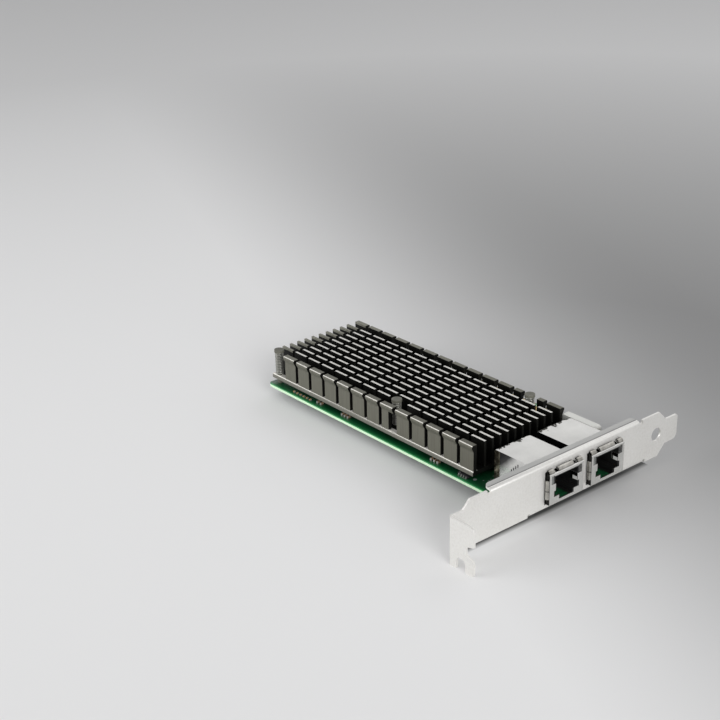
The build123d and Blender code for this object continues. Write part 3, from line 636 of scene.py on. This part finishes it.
def add_walls(mesh, first, second):
    """Adds the faces between two rings of as many vertices."""
    for step in range(len(first)):
        following = (step + 1) % len(first)
        mesh.faces.new((first[step], first[following], second[following], second[step]))


WIRE_SIDES = 8
UPRIGHT_LIMIT = 1e-6


def add_tube(mesh, points, radius):
    """Adds a round wire along a list of points."""
    rings = []
    for index, point in enumerate(points):
        before = points[max(index - 1, 0)]
        after = points[min(index + 1, len(points) - 1)]
        direction = (after - before).normalized()
        side = direction.cross(UP)
        if side.length < UPRIGHT_LIMIT:
            side = Vector((1, 0, 0))
        side.normalize()
        other = direction.cross(side)
        ring = []
        for step in range(WIRE_SIDES):
            turn = 2 * math.pi * step / WIRE_SIDES
            offset = radius * (math.cos(turn) * side + math.sin(turn) * other)
            ring.append(mesh.verts.new(point + offset))
        rings.append(ring)
    for first, second in zip(rings, rings[1:]):
        add_walls(mesh, first, second)
    mesh.faces.new(rings[0][::-1])
    mesh.faces.new(rings[-1])


def add_disc(mesh, centre, radius, start, end, sides, share=1.0):
    """Adds an upright round plug from one height to another, share times as wide at the second."""
    rings = []
    for height, spread in ((start, radius), (end, radius * share)):
        ring = []
        for step in range(sides):
            turn = 2 * math.pi * step / sides
            x, y = centre[0] + spread * math.cos(turn), centre[1] + spread * math.sin(turn)
            ring.append(mesh.verts.new((x, y, height)))
        rings.append(ring)
    lower, upper = rings if end >= start else rings[::-1]
    add_walls(mesh, lower, upper)
    mesh.faces.new(lower[::-1])
    mesh.faces.new(upper)


def add_bar(mesh, first_ring, second_ring):
    """Adds a bar between two rings of points, with its faces turned outwards."""
    first = [mesh.verts.new(point) for point in first_ring]
    second = [mesh.verts.new(point) for point in second_ring]
    faces = [mesh.faces.new(first), mesh.faces.new(second[::-1])]
    for step in range(len(first)):
        following = (step + 1) % len(first)
        corners = (first[following], first[step], second[step], second[following])
        faces.append(mesh.faces.new(corners))
    bmesh.ops.recalc_face_normals(mesh, faces=faces)


# Springs round the push pins

SPRING_WIRE = 0.24 * MM
SPRING_TURNS = 13
SPRING_STEPS = 20


def springs():
    """Wound wire in place of the CAD's sleeves."""
    mesh = bmesh.new()
    total = SPRING_TURNS * SPRING_STEPS
    for low, high in islands("pin_springs"):
        centre = (low + high) / 2
        radius = (high.x - low.x) / 2 - SPRING_WIRE
        rise = high.z - low.z - 2 * SPRING_WIRE
        points = []
        for step in range(total + 1):
            turn = 2 * math.pi * step / SPRING_STEPS
            x, y = centre.x + radius * math.cos(turn), centre.y + radius * math.sin(turn)
            points.append(Vector((x, y, low.z + SPRING_WIRE + rise * step / total)))
        add_tube(mesh, points, SPRING_WIRE)
    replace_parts(piece("pin_spring_coils", mesh, "spring_steel", True), "pin_springs")


# Surface-mounted parts: a body with tinned ends on solder

END_SHARE = 0.17
BODY_INSET = 0.02 * MM
CHIP_BEVEL = 0.06 * MM


def long_axis(low, high):
    """The longer of a box's sides along X and Y, as an index."""
    size = high - low
    return 0 if size.x >= size.y else 1


def end_boxes(low, high, axis, share, reach=0.0):
    """Boxes over a share of both ends of a part, which reach out past it."""
    depth = (high - low)[axis] * share
    first_low, first_high = low.copy(), high.copy()
    first_low[axis] -= reach
    first_high[axis] = low[axis] + depth
    second_low, second_high = low.copy(), high.copy()
    second_low[axis] = high[axis] - depth
    second_high[axis] += reach
    return (first_low, first_high), (second_low, second_high)


def end_capped(name, slot):
    """Chip parts of one node: body and metal ends, as two pieces that replace the node."""
    bodies = bmesh.new()
    ends = bmesh.new()
    for low, high in islands(name):
        axis = long_axis(low, high)
        body_low, body_high = low.copy(), high.copy()
        for side in range(3):
            inset = (high - low)[axis] * END_SHARE / 2 if side == axis else BODY_INSET
            body_low[side] += inset
            body_high[side] -= inset
        add_box(bodies, body_low, body_high, CHIP_BEVEL)
        for end_low, end_high in end_boxes(low, high, axis, END_SHARE):
            add_box(ends, end_low, end_high, CHIP_BEVEL)
    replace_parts(piece(name + "_bodies", bodies, slot), name)
    piece(name + "_ends", ends, "chip_end")


# Chips with bent leads along both long sides

BODY_LIFT = 0.1 * MM
BODY_BEVEL = 0.12 * MM
LEAD_WIDTH = 0.42 * MM
LEAD_SHEET = 0.2 * MM
LEAD_RISE = 0.55 * MM
LEAD_FOOT = 0.35 * MM
LEAD_ROOT = 0.1 * MM
LEAD_PITCH = 1.27 * MM
LEAD_COUNT = 4
DIMPLE = 0.35 * MM
DIMPLE_SHARE = 1 / 8
DIMPLE_INSET = (0.8 * MM, 0.5 * MM)
DIMPLE_DEPTHS = (-0.02 * MM, 0.01 * MM)
DIMPLE_SIDES = 14


def leaded(name, lead_length):
    """A moulded body with a dimple at its first lead, and metal leads on solder."""
    low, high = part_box(name)
    body = bmesh.new()
    body_low = Vector((low.x, low.y + lead_length, low.z + BODY_LIFT))
    add_box(body, body_low, Vector((high.x, high.y - lead_length, high.z)), BODY_BEVEL)
    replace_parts(piece(name + "_body", body, "chip_package"), name)
    dimple = bmesh.new()
    mark = (low.x + DIMPLE_INSET[0], low.y + lead_length + DIMPLE_INSET[1])
    radius = min(DIMPLE, (high.y - low.y) * DIMPLE_SHARE)
    sunk, proud = [high.z + depth for depth in DIMPLE_DEPTHS]
    add_disc(dimple, mark, radius, sunk, proud, DIMPLE_SIDES)
    piece(name + "_dimple", dimple, "tinned_metal")
    leads = bmesh.new()
    foot, knee = low.z + LEAD_SHEET, low.z + LEAD_RISE
    for side in (1, -1):
        tip = high.y if side > 0 else low.y
        root = tip - side * (lead_length + LEAD_ROOT)
        heel = tip - side * (LEAD_FOOT + LEAD_SHEET)
        toe = tip - side * LEAD_FOOT
        outline = ((root, knee), (heel, knee), (heel, low.z), (tip, low.z),
                   (tip, foot), (toe, foot), (toe, knee + LEAD_SHEET), (root, knee + LEAD_SHEET))
        for lead in range(LEAD_COUNT):
            x = (low.x + high.x) / 2 + (lead - (LEAD_COUNT - 1) / 2) * LEAD_PITCH
            add_bar(leads, *[[(x + end * LEAD_WIDTH / 2, y, z) for y, z in outline]
                             for end in (-1, 1)])
    piece(name + "_leads", leads, "chip_end")


# Print on the board

PRINT = 0.02 * MM
LINE = 0.16 * MM
PART_MARGIN = 0.35 * MM
PIN_MARGIN = 0.9 * MM
JACK_MARGIN = 0.3 * MM


def add_frame(mesh, low, high, level, side, margin):
    """Adds a thin printed rectangle round a part's box on one face of the board."""
    x0, x1, y0, y1 = low.x - margin, high.x + margin, low.y - margin, high.y + margin
    bottom, top = (level, level + PRINT) if side > 0 else (level - PRINT, level)
    for a, b in (((x0, y0), (x1, y0 + LINE)), ((x0, y1 - LINE), (x1, y1)),
                 ((x0, y0 + LINE), (x0 + LINE, y1 - LINE)),
                 ((x1 - LINE, y0 + LINE), (x1, y1 - LINE))):
        add_box(mesh, Vector((*a, bottom)), Vector((*b, top)))


def printed_lines():
    """Outlines round parts on top, and below round pins, controller and jacks."""
    low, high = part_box("board")
    mesh = bmesh.new()
    for name in ("power_inductors", "clock_crystal", "filter_can"):
        for part_low, part_high in islands(name):
            add_frame(mesh, part_low, part_high, high.z, 1, PART_MARGIN)
    add_frame(mesh, *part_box("flash_chip"), high.z, 1, PART_MARGIN)
    for part_low, part_high in islands("push_pins"):
        add_frame(mesh, part_low, part_high, low.z, -1, PIN_MARGIN)
    add_frame(mesh, *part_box("controller_chip"), low.z, -1, 0.0)
    for jack in JACKS:
        add_frame(mesh, *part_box("magnetics_" + jack), low.z, -1, JACK_MARGIN)
    piece("printed_lines", mesh, "print_white")


# Plated holes, drawn at random on a grid, and more often where two waves meet

VIA_SEED = 7
VIA_RADIUS = 0.3 * MM
VIA_GRID = 1.27 * MM
VIA_START = (4 * MM, 3 * MM)
VIA_MARGINS = (8 * MM, 16 * MM)
VIA_CLEARANCE = 0.7 * MM
VIA_LEVEL_GAP = 0.1 * MM
VIA_CHANCE = 0.07
VIA_CLUSTER_CHANCE = 0.12
VIA_CLUSTER_WAVES = (0.9, 0.31)
VIA_CLUSTER_LEVEL = 0.4
VIA_SIDES = 8


def is_covered(boxes, x, y, level, side):
    """Tells whether a part stands over a place on one face of the board."""
    for low, high in boxes:
        if not low.x - VIA_CLEARANCE < x < high.x + VIA_CLEARANCE:
            continue
        if not low.y - VIA_CLEARANCE < y < high.y + VIA_CLEARANCE:
            continue
        if high.z > level + VIA_LEVEL_GAP if side > 0 else low.z < level - VIA_LEVEL_GAP:
            return True
    return False


def vias():
    """Small plated holes in loose rows on both faces, clear of the parts, with black discs as
    painted shade in them.
    """
    low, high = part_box("board")
    draw = random.Random(VIA_SEED)
    boxes = []
    for name in nodes:
        if name != "board" and not name.startswith("edge_contacts"):
            boxes += islands(name)
    pads = bmesh.new()
    holes = bmesh.new()
    columns = int((high.x - low.x - VIA_MARGINS[0]) / VIA_GRID)
    rows = int((high.y - low.y - VIA_MARGINS[1]) / VIA_GRID)
    for level, side in ((high.z, 1), (low.z, -1)):
        for row in range(rows):
            for column in range(columns):
                wave = (math.sin(row * VIA_CLUSTER_WAVES[0])
                        * math.sin(column * VIA_CLUSTER_WAVES[1]))
                chance = VIA_CHANCE + VIA_CLUSTER_CHANCE * (wave > VIA_CLUSTER_LEVEL)
                if draw.random() > chance:
                    continue
                x = low.x + VIA_START[0] + column * VIA_GRID
                y = low.y + VIA_START[1] + row * VIA_GRID
                if is_covered(boxes, x, y, level, side):
                    continue
                sunk = level - side * PRINT
                add_disc(pads, (x, y), VIA_RADIUS, sunk, level + side * PRINT, VIA_SIDES)
                # Painted shade: a black disc stands for the inside of each hole
                add_disc(holes, (x, y), VIA_RADIUS / 2, sunk, level + side * 1.5 * PRINT, VIA_SIDES)
    piece("via_pads", pads, "tinned_metal")
    piece("via_holes", holes, "chip_package")


# Solder on the jacks' tails and posts, and pads under the small parts' ends

TAIL_PAD = 0.95 * MM
TAIL_PAD_SIDES = 16
TAIL_CONE = 0.75 * MM
TAIL_CONE_HEIGHT = 0.95 * MM
TAIL_CONE_SHARE = 0.5
TAIL_CONE_SIDES = 14
POST_SETBACKS = (7.6 * MM, 14.6 * MM)
POST_OFFSET = 0.175 * MM
POST_PAD = (1.3 * MM, 0.65 * MM)
POST_SOLDER = (1.05 * MM, 0.42 * MM)
POST_SOLDER_HEIGHT = 0.5 * MM
POST_SOLDER_BEVEL = 0.18 * MM
PAD_SHARE = 0.3
PAD_REACH = 0.14 * MM
FIDUCIAL = (29.05 * MM, -65.24 * MM)
FIDUCIAL_RADIUS = 0.75 * MM
FIDUCIAL_SIDES = 20


def add_pad(mesh, x, y, half, bottom, top, bevel=0.0):
    """Adds a flat box of a half length and a half width round a place."""
    low = Vector((x - half[0], y - half[1], bottom))
    add_box(mesh, low, Vector((x + half[0], y + half[1], top)), bevel)


def solder_joints():
    """Cones of solder round the jacks' tails and posts, and pads under the chips' ends."""
    low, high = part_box("board")
    solder = bmesh.new()
    pads = bmesh.new()
    for jack in JACKS:
        for tail_low, tail_high in islands("solder_tails_" + jack):
            centre = (tail_low + tail_high) / 2
            add_disc(pads, centre, TAIL_PAD, low.z + PRINT, low.z - PRINT, TAIL_PAD_SIDES)
            tip = low.z - TAIL_CONE_HEIGHT
            add_disc(solder, centre, TAIL_CONE, low.z, tip, TAIL_CONE_SIDES, TAIL_CONE_SHARE)
        jack_low, jack_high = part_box("jack_shield_" + jack)
        magnet_low, magnet_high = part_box("magnetics_" + jack)
        for x in (jack_low.x + POST_SETBACKS[0], jack_high.x - POST_SETBACKS[1]):
            for y in (magnet_low.y - POST_OFFSET, magnet_high.y + POST_OFFSET):
                add_pad(pads, x, y, POST_PAD, low.z - PRINT, low.z + PRINT)
                bottom = low.z - POST_SOLDER_HEIGHT
                add_pad(solder, x, y, POST_SOLDER, bottom, low.z, POST_SOLDER_BEVEL)
    for name in ("resistors", "capacitors", "coupling_capacitors", "decoupling_capacitors",
                 "power_inductors"):
        levels = (high.z, high.z + 2 * PRINT)
        if name == "decoupling_capacitors":
            levels = (low.z - 2 * PRINT, low.z)
        for part_low, part_high in islands(name):
            axis = long_axis(part_low, part_high)
            for pad_low, pad_high in end_boxes(part_low, part_high, axis, PAD_SHARE, PAD_REACH):
                pad_low.z, pad_high.z = levels
                add_box(pads, pad_low, pad_high)
    add_disc(solder, FIDUCIAL, FIDUCIAL_RADIUS, high.z, high.z + 1.5 * PRINT, FIDUCIAL_SIDES)
    piece("solder_joints", solder, "tinned_metal")
    piece("solder_pads", pads, "chip_end")


TERMINAL_ENDS = (-0.3 * MM, 0.08 * MM)
TERMINAL_HALF = 1.5 * MM
TERMINAL_HEIGHT = 1.4 * MM
TERMINAL_BEVEL = 0.05 * MM


def inductor_terminals():
    """Folded metal ends on both sides of each inductor."""
    mesh = bmesh.new()
    for low, high in islands("power_inductors"):
        middle = (low.y + high.y) / 2
        for side in (1, -1):
            x = high.x if side > 0 else low.x
            start, stop = sorted(x + side * end for end in TERMINAL_ENDS)
            add_box(mesh, Vector((start, middle - TERMINAL_HALF, low.z)),
                    Vector((stop, middle + TERMINAL_HALF, low.z + TERMINAL_HEIGHT)),
                    TERMINAL_BEVEL)
    piece("inductor_terminals", mesh, "tinned_metal")


# Jacks: green on the floors of the mouths, as level above the housing and reach across
INLAYS = ((2.72 * MM, (-5.9 * MM, -3.45 * MM)), (1.07 * MM, (-3.3 * MM, 1.6 * MM)))
INLAY = 0.08 * MM
INLAY_FRONT = 0.4 * MM
INLAY_DEPTH = 9 * MM
INLAY_BEVEL = 0.02 * MM


def jack_floors():
    """Thin green inlays on the floor of each jack's cavity and of its latch slot."""
    for jack in JACKS:
        low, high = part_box("jack_housing_" + jack)
        middle = (low.y + high.y) / 2
        mesh = bmesh.new()
        for level, (start, end) in INLAYS:
            floor = low.z + level
            inlay_low = Vector((high.x - INLAY_DEPTH, middle + start, floor))
            inlay_high = Vector((high.x - INLAY_FRONT, middle + end, floor + INLAY))
            add_box(mesh, inlay_low, inlay_high, INLAY_BEVEL)
        piece("jack_inlay_" + jack, mesh, "inner_green")


TAB_LEVELS = (5.1 * MM, 6.5 * MM)
TAB_FACE = 5.7 * MM
TAB_SHEET = 0.06 * MM
TAB_LENGTH = 2.1 * MM
TAB_BEVEL = 0.01 * MM


def tab_tips():
    """Lower ends of the tabs that ground a plug, inside each mouth, near-white as a painted
    highlight.
    """
    for jack in JACKS:
        low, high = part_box("jack_housing_" + jack)
        middle = (low.y + high.y) / 2
        mesh = bmesh.new()
        for side in (1, -1):
            face = middle + side * TAB_FACE
            start, end = sorted((face, face - side * TAB_SHEET))
            tip_low = Vector((high.x - TAB_LENGTH, start, low.z + TAB_LEVELS[0]))
            add_box(mesh, tip_low, Vector((high.x, end, low.z + TAB_LEVELS[1])), TAB_BEVEL)
        piece("ground_tab_tips_" + jack, mesh, "tab_tip")


# Spring strips round the mouths. Outline: back from the front edge and out from the wall, in mm.
# Strips: place and width in mm; a top strip's place is from the jack's middle, a side strip's
# is its height above the board.
BOW = ((0.2, 0.0), (0.32, 0.4), (0.7, 1.0), (1.2, 1.3), (1.65, 1.2), (1.94, 0.7),
       (1.94, 0.48), (1.58, 0.96), (1.2, 1.08), (0.82, 0.82), (0.5, 0.32), (0.4, 0.0))
TOP_BOWS = ((-7.3, 2.5), (0.0, 7.8), (7.3, 2.5))
SIDE_BOWS = ((3.87, 3.1), (7.77, 4.1))
SIDE_BOW_RISE = 0.6


def add_bow(mesh, origin, outward, along, width, rise):
    """Adds one bowed strip that runs back from the front edge and stands off the wall."""
    rings = []
    for end in (-0.5, 0.5):
        start = origin + along * (end * width * MM)
        rings.append([start + Vector((-back * MM, 0, 0)) + outward * (off * rise * MM)
                      for back, off in BOW])
    add_bar(mesh, *rings)


def spring_bows():
    """Bowed spring strips round each mouth, between the front edge and the bracket."""
    board_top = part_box("board")[1].z
    across = Vector((0, 1, 0))
    for jack in JACKS:
        low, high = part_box("jack_shield_" + jack)
        middle = (low.y + high.y) / 2
        wall = (high.y - low.y) / 2 - FINGER_RISE
        roof = high.z - FINGER_RISE
        mesh = bmesh.new()
        for place, width in TOP_BOWS:
            add_bow(mesh, Vector((high.x, middle + place * MM, roof)), UP, across, width, 1.0)
        for side in (1, -1):
            for place, width in SIDE_BOWS:
                origin = Vector((high.x, middle + side * wall, board_top + place * MM))
                add_bow(mesh, origin, side * across, UP, width, SIDE_BOW_RISE)
        piece("spring_bows_" + jack, mesh, "spring_bow")


VENTS = ((42.15, 7.59), (43.23, 8.59), (44.26, 9.56), (45.33, 10.59))
VENT_LENGTH = 0.5 * MM
VENT_HEIGHT = 1.3 * MM
VENT_PROUD = 0.02 * MM


def shield_vents():
    """Short black boxes on the outer side wall of each jack, as painted shade in its vent slots."""
    near_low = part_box("jack_shield_near")[0]
    far_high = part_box("jack_shield_far")[1]
    mesh = bmesh.new()
    for wall, side in ((near_low.y + FINGER_RISE, -1), (far_high.y - FINGER_RISE, 1)):
        start, end = sorted((wall, wall + side * VENT_PROUD))
        for x, z in VENTS:
            low = Vector((x * MM - VENT_LENGTH / 2, start, z * MM - VENT_HEIGHT / 2))
            high = Vector((x * MM + VENT_LENGTH / 2, end, z * MM + VENT_HEIGHT / 2))
            add_box(mesh, low, high)
    piece("shield_vents", mesh, "chip_package")


# Width by which sharp edges are rounded
SOFTENED = {
    "bracket": 0.09 * MM, "heatsink": 0.1 * MM, "board": 0.05 * MM,
    "power_inductors": 0.15 * MM, "filter_can": 0.15 * MM,
    "clock_crystal": 0.08 * MM, "controller_chip": 0.08 * MM,
}

for name in nodes:
    dress(name)
springs()
end_capped("resistors", "resistor_body")
for name in ("capacitors", "coupling_capacitors", "decoupling_capacitors"):
    end_capped(name, "ceramic_body")
leaded("flash_chip", 0.95 * MM)
leaded("buffer_chip", 0.5 * MM)
printed_lines()
vias()
solder_joints()
inductor_terminals()
jack_floors()
tab_tips()
spring_bows()
shield_vents()
for name, width in SOFTENED.items():
    soften(name, width)


# Camera, at the photo's viewing angle

CAMERA_PLACE = Vector((367.03, -398.85, 256.43)) * MM
CAMERA_RIGHT = Vector((0.64480, 0.76404, -0.02162))
CAMERA_UP = Vector((-0.29283, 0.27307, 0.91634))
CAMERA_LENS = 72.48
CAMERA_SENSOR = 36.0


def add_camera():
    data = bpy.data.cameras.new("camera")
    data.lens = CAMERA_LENS
    data.sensor_width = CAMERA_SENSOR
    data.clip_start = 0.01
    camera = bpy.data.objects.new("camera", data)
    back = CAMERA_RIGHT.cross(CAMERA_UP).normalized()
    turn = Matrix((CAMERA_RIGHT, CAMERA_UP, back)).transposed().to_4x4()
    camera.matrix_world = Matrix.Translation(CAMERA_PLACE) @ turn
    bpy.context.scene.collection.objects.link(camera)
    bpy.context.scene.camera = camera


# Floor, backdrop and lights

FLOOR_SIZE = 3.0
# Painted falloff of light on the floor: its slope, middle and tones
FLOOR_SHADE_SLOPE = (-1.888, -4.8)
FLOOR_MIDDLE = 0.626
FLOOR_SHADE_TONES = ((0.0, 0.27), (0.3, 0.32), (0.65, 0.6), (1.0, 0.88))
FLOOR_FAR = 0.66
FLOOR_NEAR = 0.14
FLOOR_BLEND = 1.7
# Painted contact shadow on the floor under the bracket: its shift, reach, ends, strength and tone
SHADOW_SHIFT = 3.5 * MM
SHADOW_REACH = 3.2 * MM
SHADOW_ENDS = (9 * MM, 14 * MM)
SHADOW_STRENGTH = 1.3
SHADOW_TONE = 0.1


def floor_paint():
    """Pale paint with a painted falloff of light, lightest in front of the card, and a painted
    contact shadow right under the bracket.
    """
    shader = Shader("floor_paint", Roughness=0.8, Specular_IOR_Level=0.1)
    x, y = shader.along("X"), shader.along("Y")
    shade_slope = shader.plus(shader.times(x, FLOOR_SHADE_SLOPE[0]), shader.times(y, FLOOR_SHADE_SLOPE[1]))
    tone = shader.ramp(shader.plus(shade_slope, FLOOR_MIDDLE, True),
                       [(at, (grey,) * 3) for at, grey in FLOOR_SHADE_TONES])
    tone.node.color_ramp.interpolation = "B_SPLINE"
    low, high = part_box("bracket")
    # Painted contact shadow right under the bracket
    aside = shader.unsigned(shader.minus(x, plate_x - SHADOW_SHIFT))
    contact_shadow = shader.minus(1.0, shader.over(aside, SHADOW_REACH), True)
    contact_shadow = shader.both(contact_shadow, shader.above(y, low.y + SHADOW_ENDS[0]),
                        shader.below(y, high.y - SHADOW_ENDS[1]))
    contact_shadow = shader.times(contact_shadow, SHADOW_STRENGTH, True)
    tone = shader.mix(contact_shadow, tone, (SHADOW_TONE,) * 3)
    length = shader.add("ShaderNodeVectorMath", operation="LENGTH")
    shader.link(shader.place, length.inputs[0])
    far = shader.times(shader.minus(length.outputs["Value"], FLOOR_NEAR, True), FLOOR_BLEND, True)
    shader.colour(shader.mix(far, tone, (FLOOR_FAR,) * 3))
    return shader.material


def add_floor(level):
    mesh = bmesh.new()
    bmesh.ops.create_grid(mesh, x_segments=1, y_segments=1, size=FLOOR_SIZE)
    bmesh.ops.translate(mesh, vec=(0, 0, level), verts=mesh.verts)
    data = bpy.data.meshes.new("floor")
    mesh.to_mesh(data)
    mesh.free()
    data.materials.append(floor_paint())
    floor = bpy.data.objects.new("floor", data)
    bpy.context.scene.collection.objects.link(floor)


LAMP_TARGET = Vector((0, -0.05, 0))
# Place, size and power of each soft lamp, in metres and watts
LAMPS = {
    "key": ((2.0, -0.65, 0.76), (1.2, 1.0), 27.0),
    "fill": ((-0.5, -0.9, 0.4), (0.8, 0.5), 4.0),
    "rim": ((-0.1, 0.7, 0.8), (0.9, 0.5), 1.2),
}


def add_lamp(name, place, size, power):
    data = bpy.data.lights.new(name, "AREA")
    data.shape = "RECTANGLE"
    data.size, data.size_y = size
    data.energy = power
    lamp = bpy.data.objects.new(name, data)
    lamp.location = place
    lamp.rotation_euler = (LAMP_TARGET - Vector(place)).to_track_quat("-Z", "Y").to_euler()
    bpy.context.scene.collection.objects.link(lamp)


SKY_TONES = ((0.0, 0.8), (0.45, 0.78), (0.75, 0.4), (1.0, 0.3))
SKY_BLUE = 1.01


def add_world():
    """Soft studio surroundings: bright near the horizon, darker overhead."""
    world = bpy.data.worlds.new("studio")
    world.use_nodes = True
    tree = world.node_tree
    place = tree.nodes.new("ShaderNodeTexCoord")
    split = tree.nodes.new("ShaderNodeSeparateXYZ")
    ramp = tree.nodes.new("ShaderNodeValToRGB")
    tree.links.new(place.outputs["Generated"], split.inputs[0])
    tree.links.new(split.outputs["Z"], ramp.inputs["Fac"])
    tree.links.new(ramp.outputs["Color"], tree.nodes["Background"].inputs["Color"])
    while len(ramp.color_ramp.elements) < len(SKY_TONES):
        ramp.color_ramp.elements.new(0.5)
    for element, (position, level) in zip(ramp.color_ramp.elements, SKY_TONES):
        element.position = position
        element.color = (level, level, level * SKY_BLUE, 1.0)
    bpy.context.scene.world = world


add_camera()
add_floor(cad_box[0].z)
add_world()
for name, settings in LAMPS.items():
    add_lamp(name, *settings)
bpy.context.scene.view_settings.view_transform = "Standard"
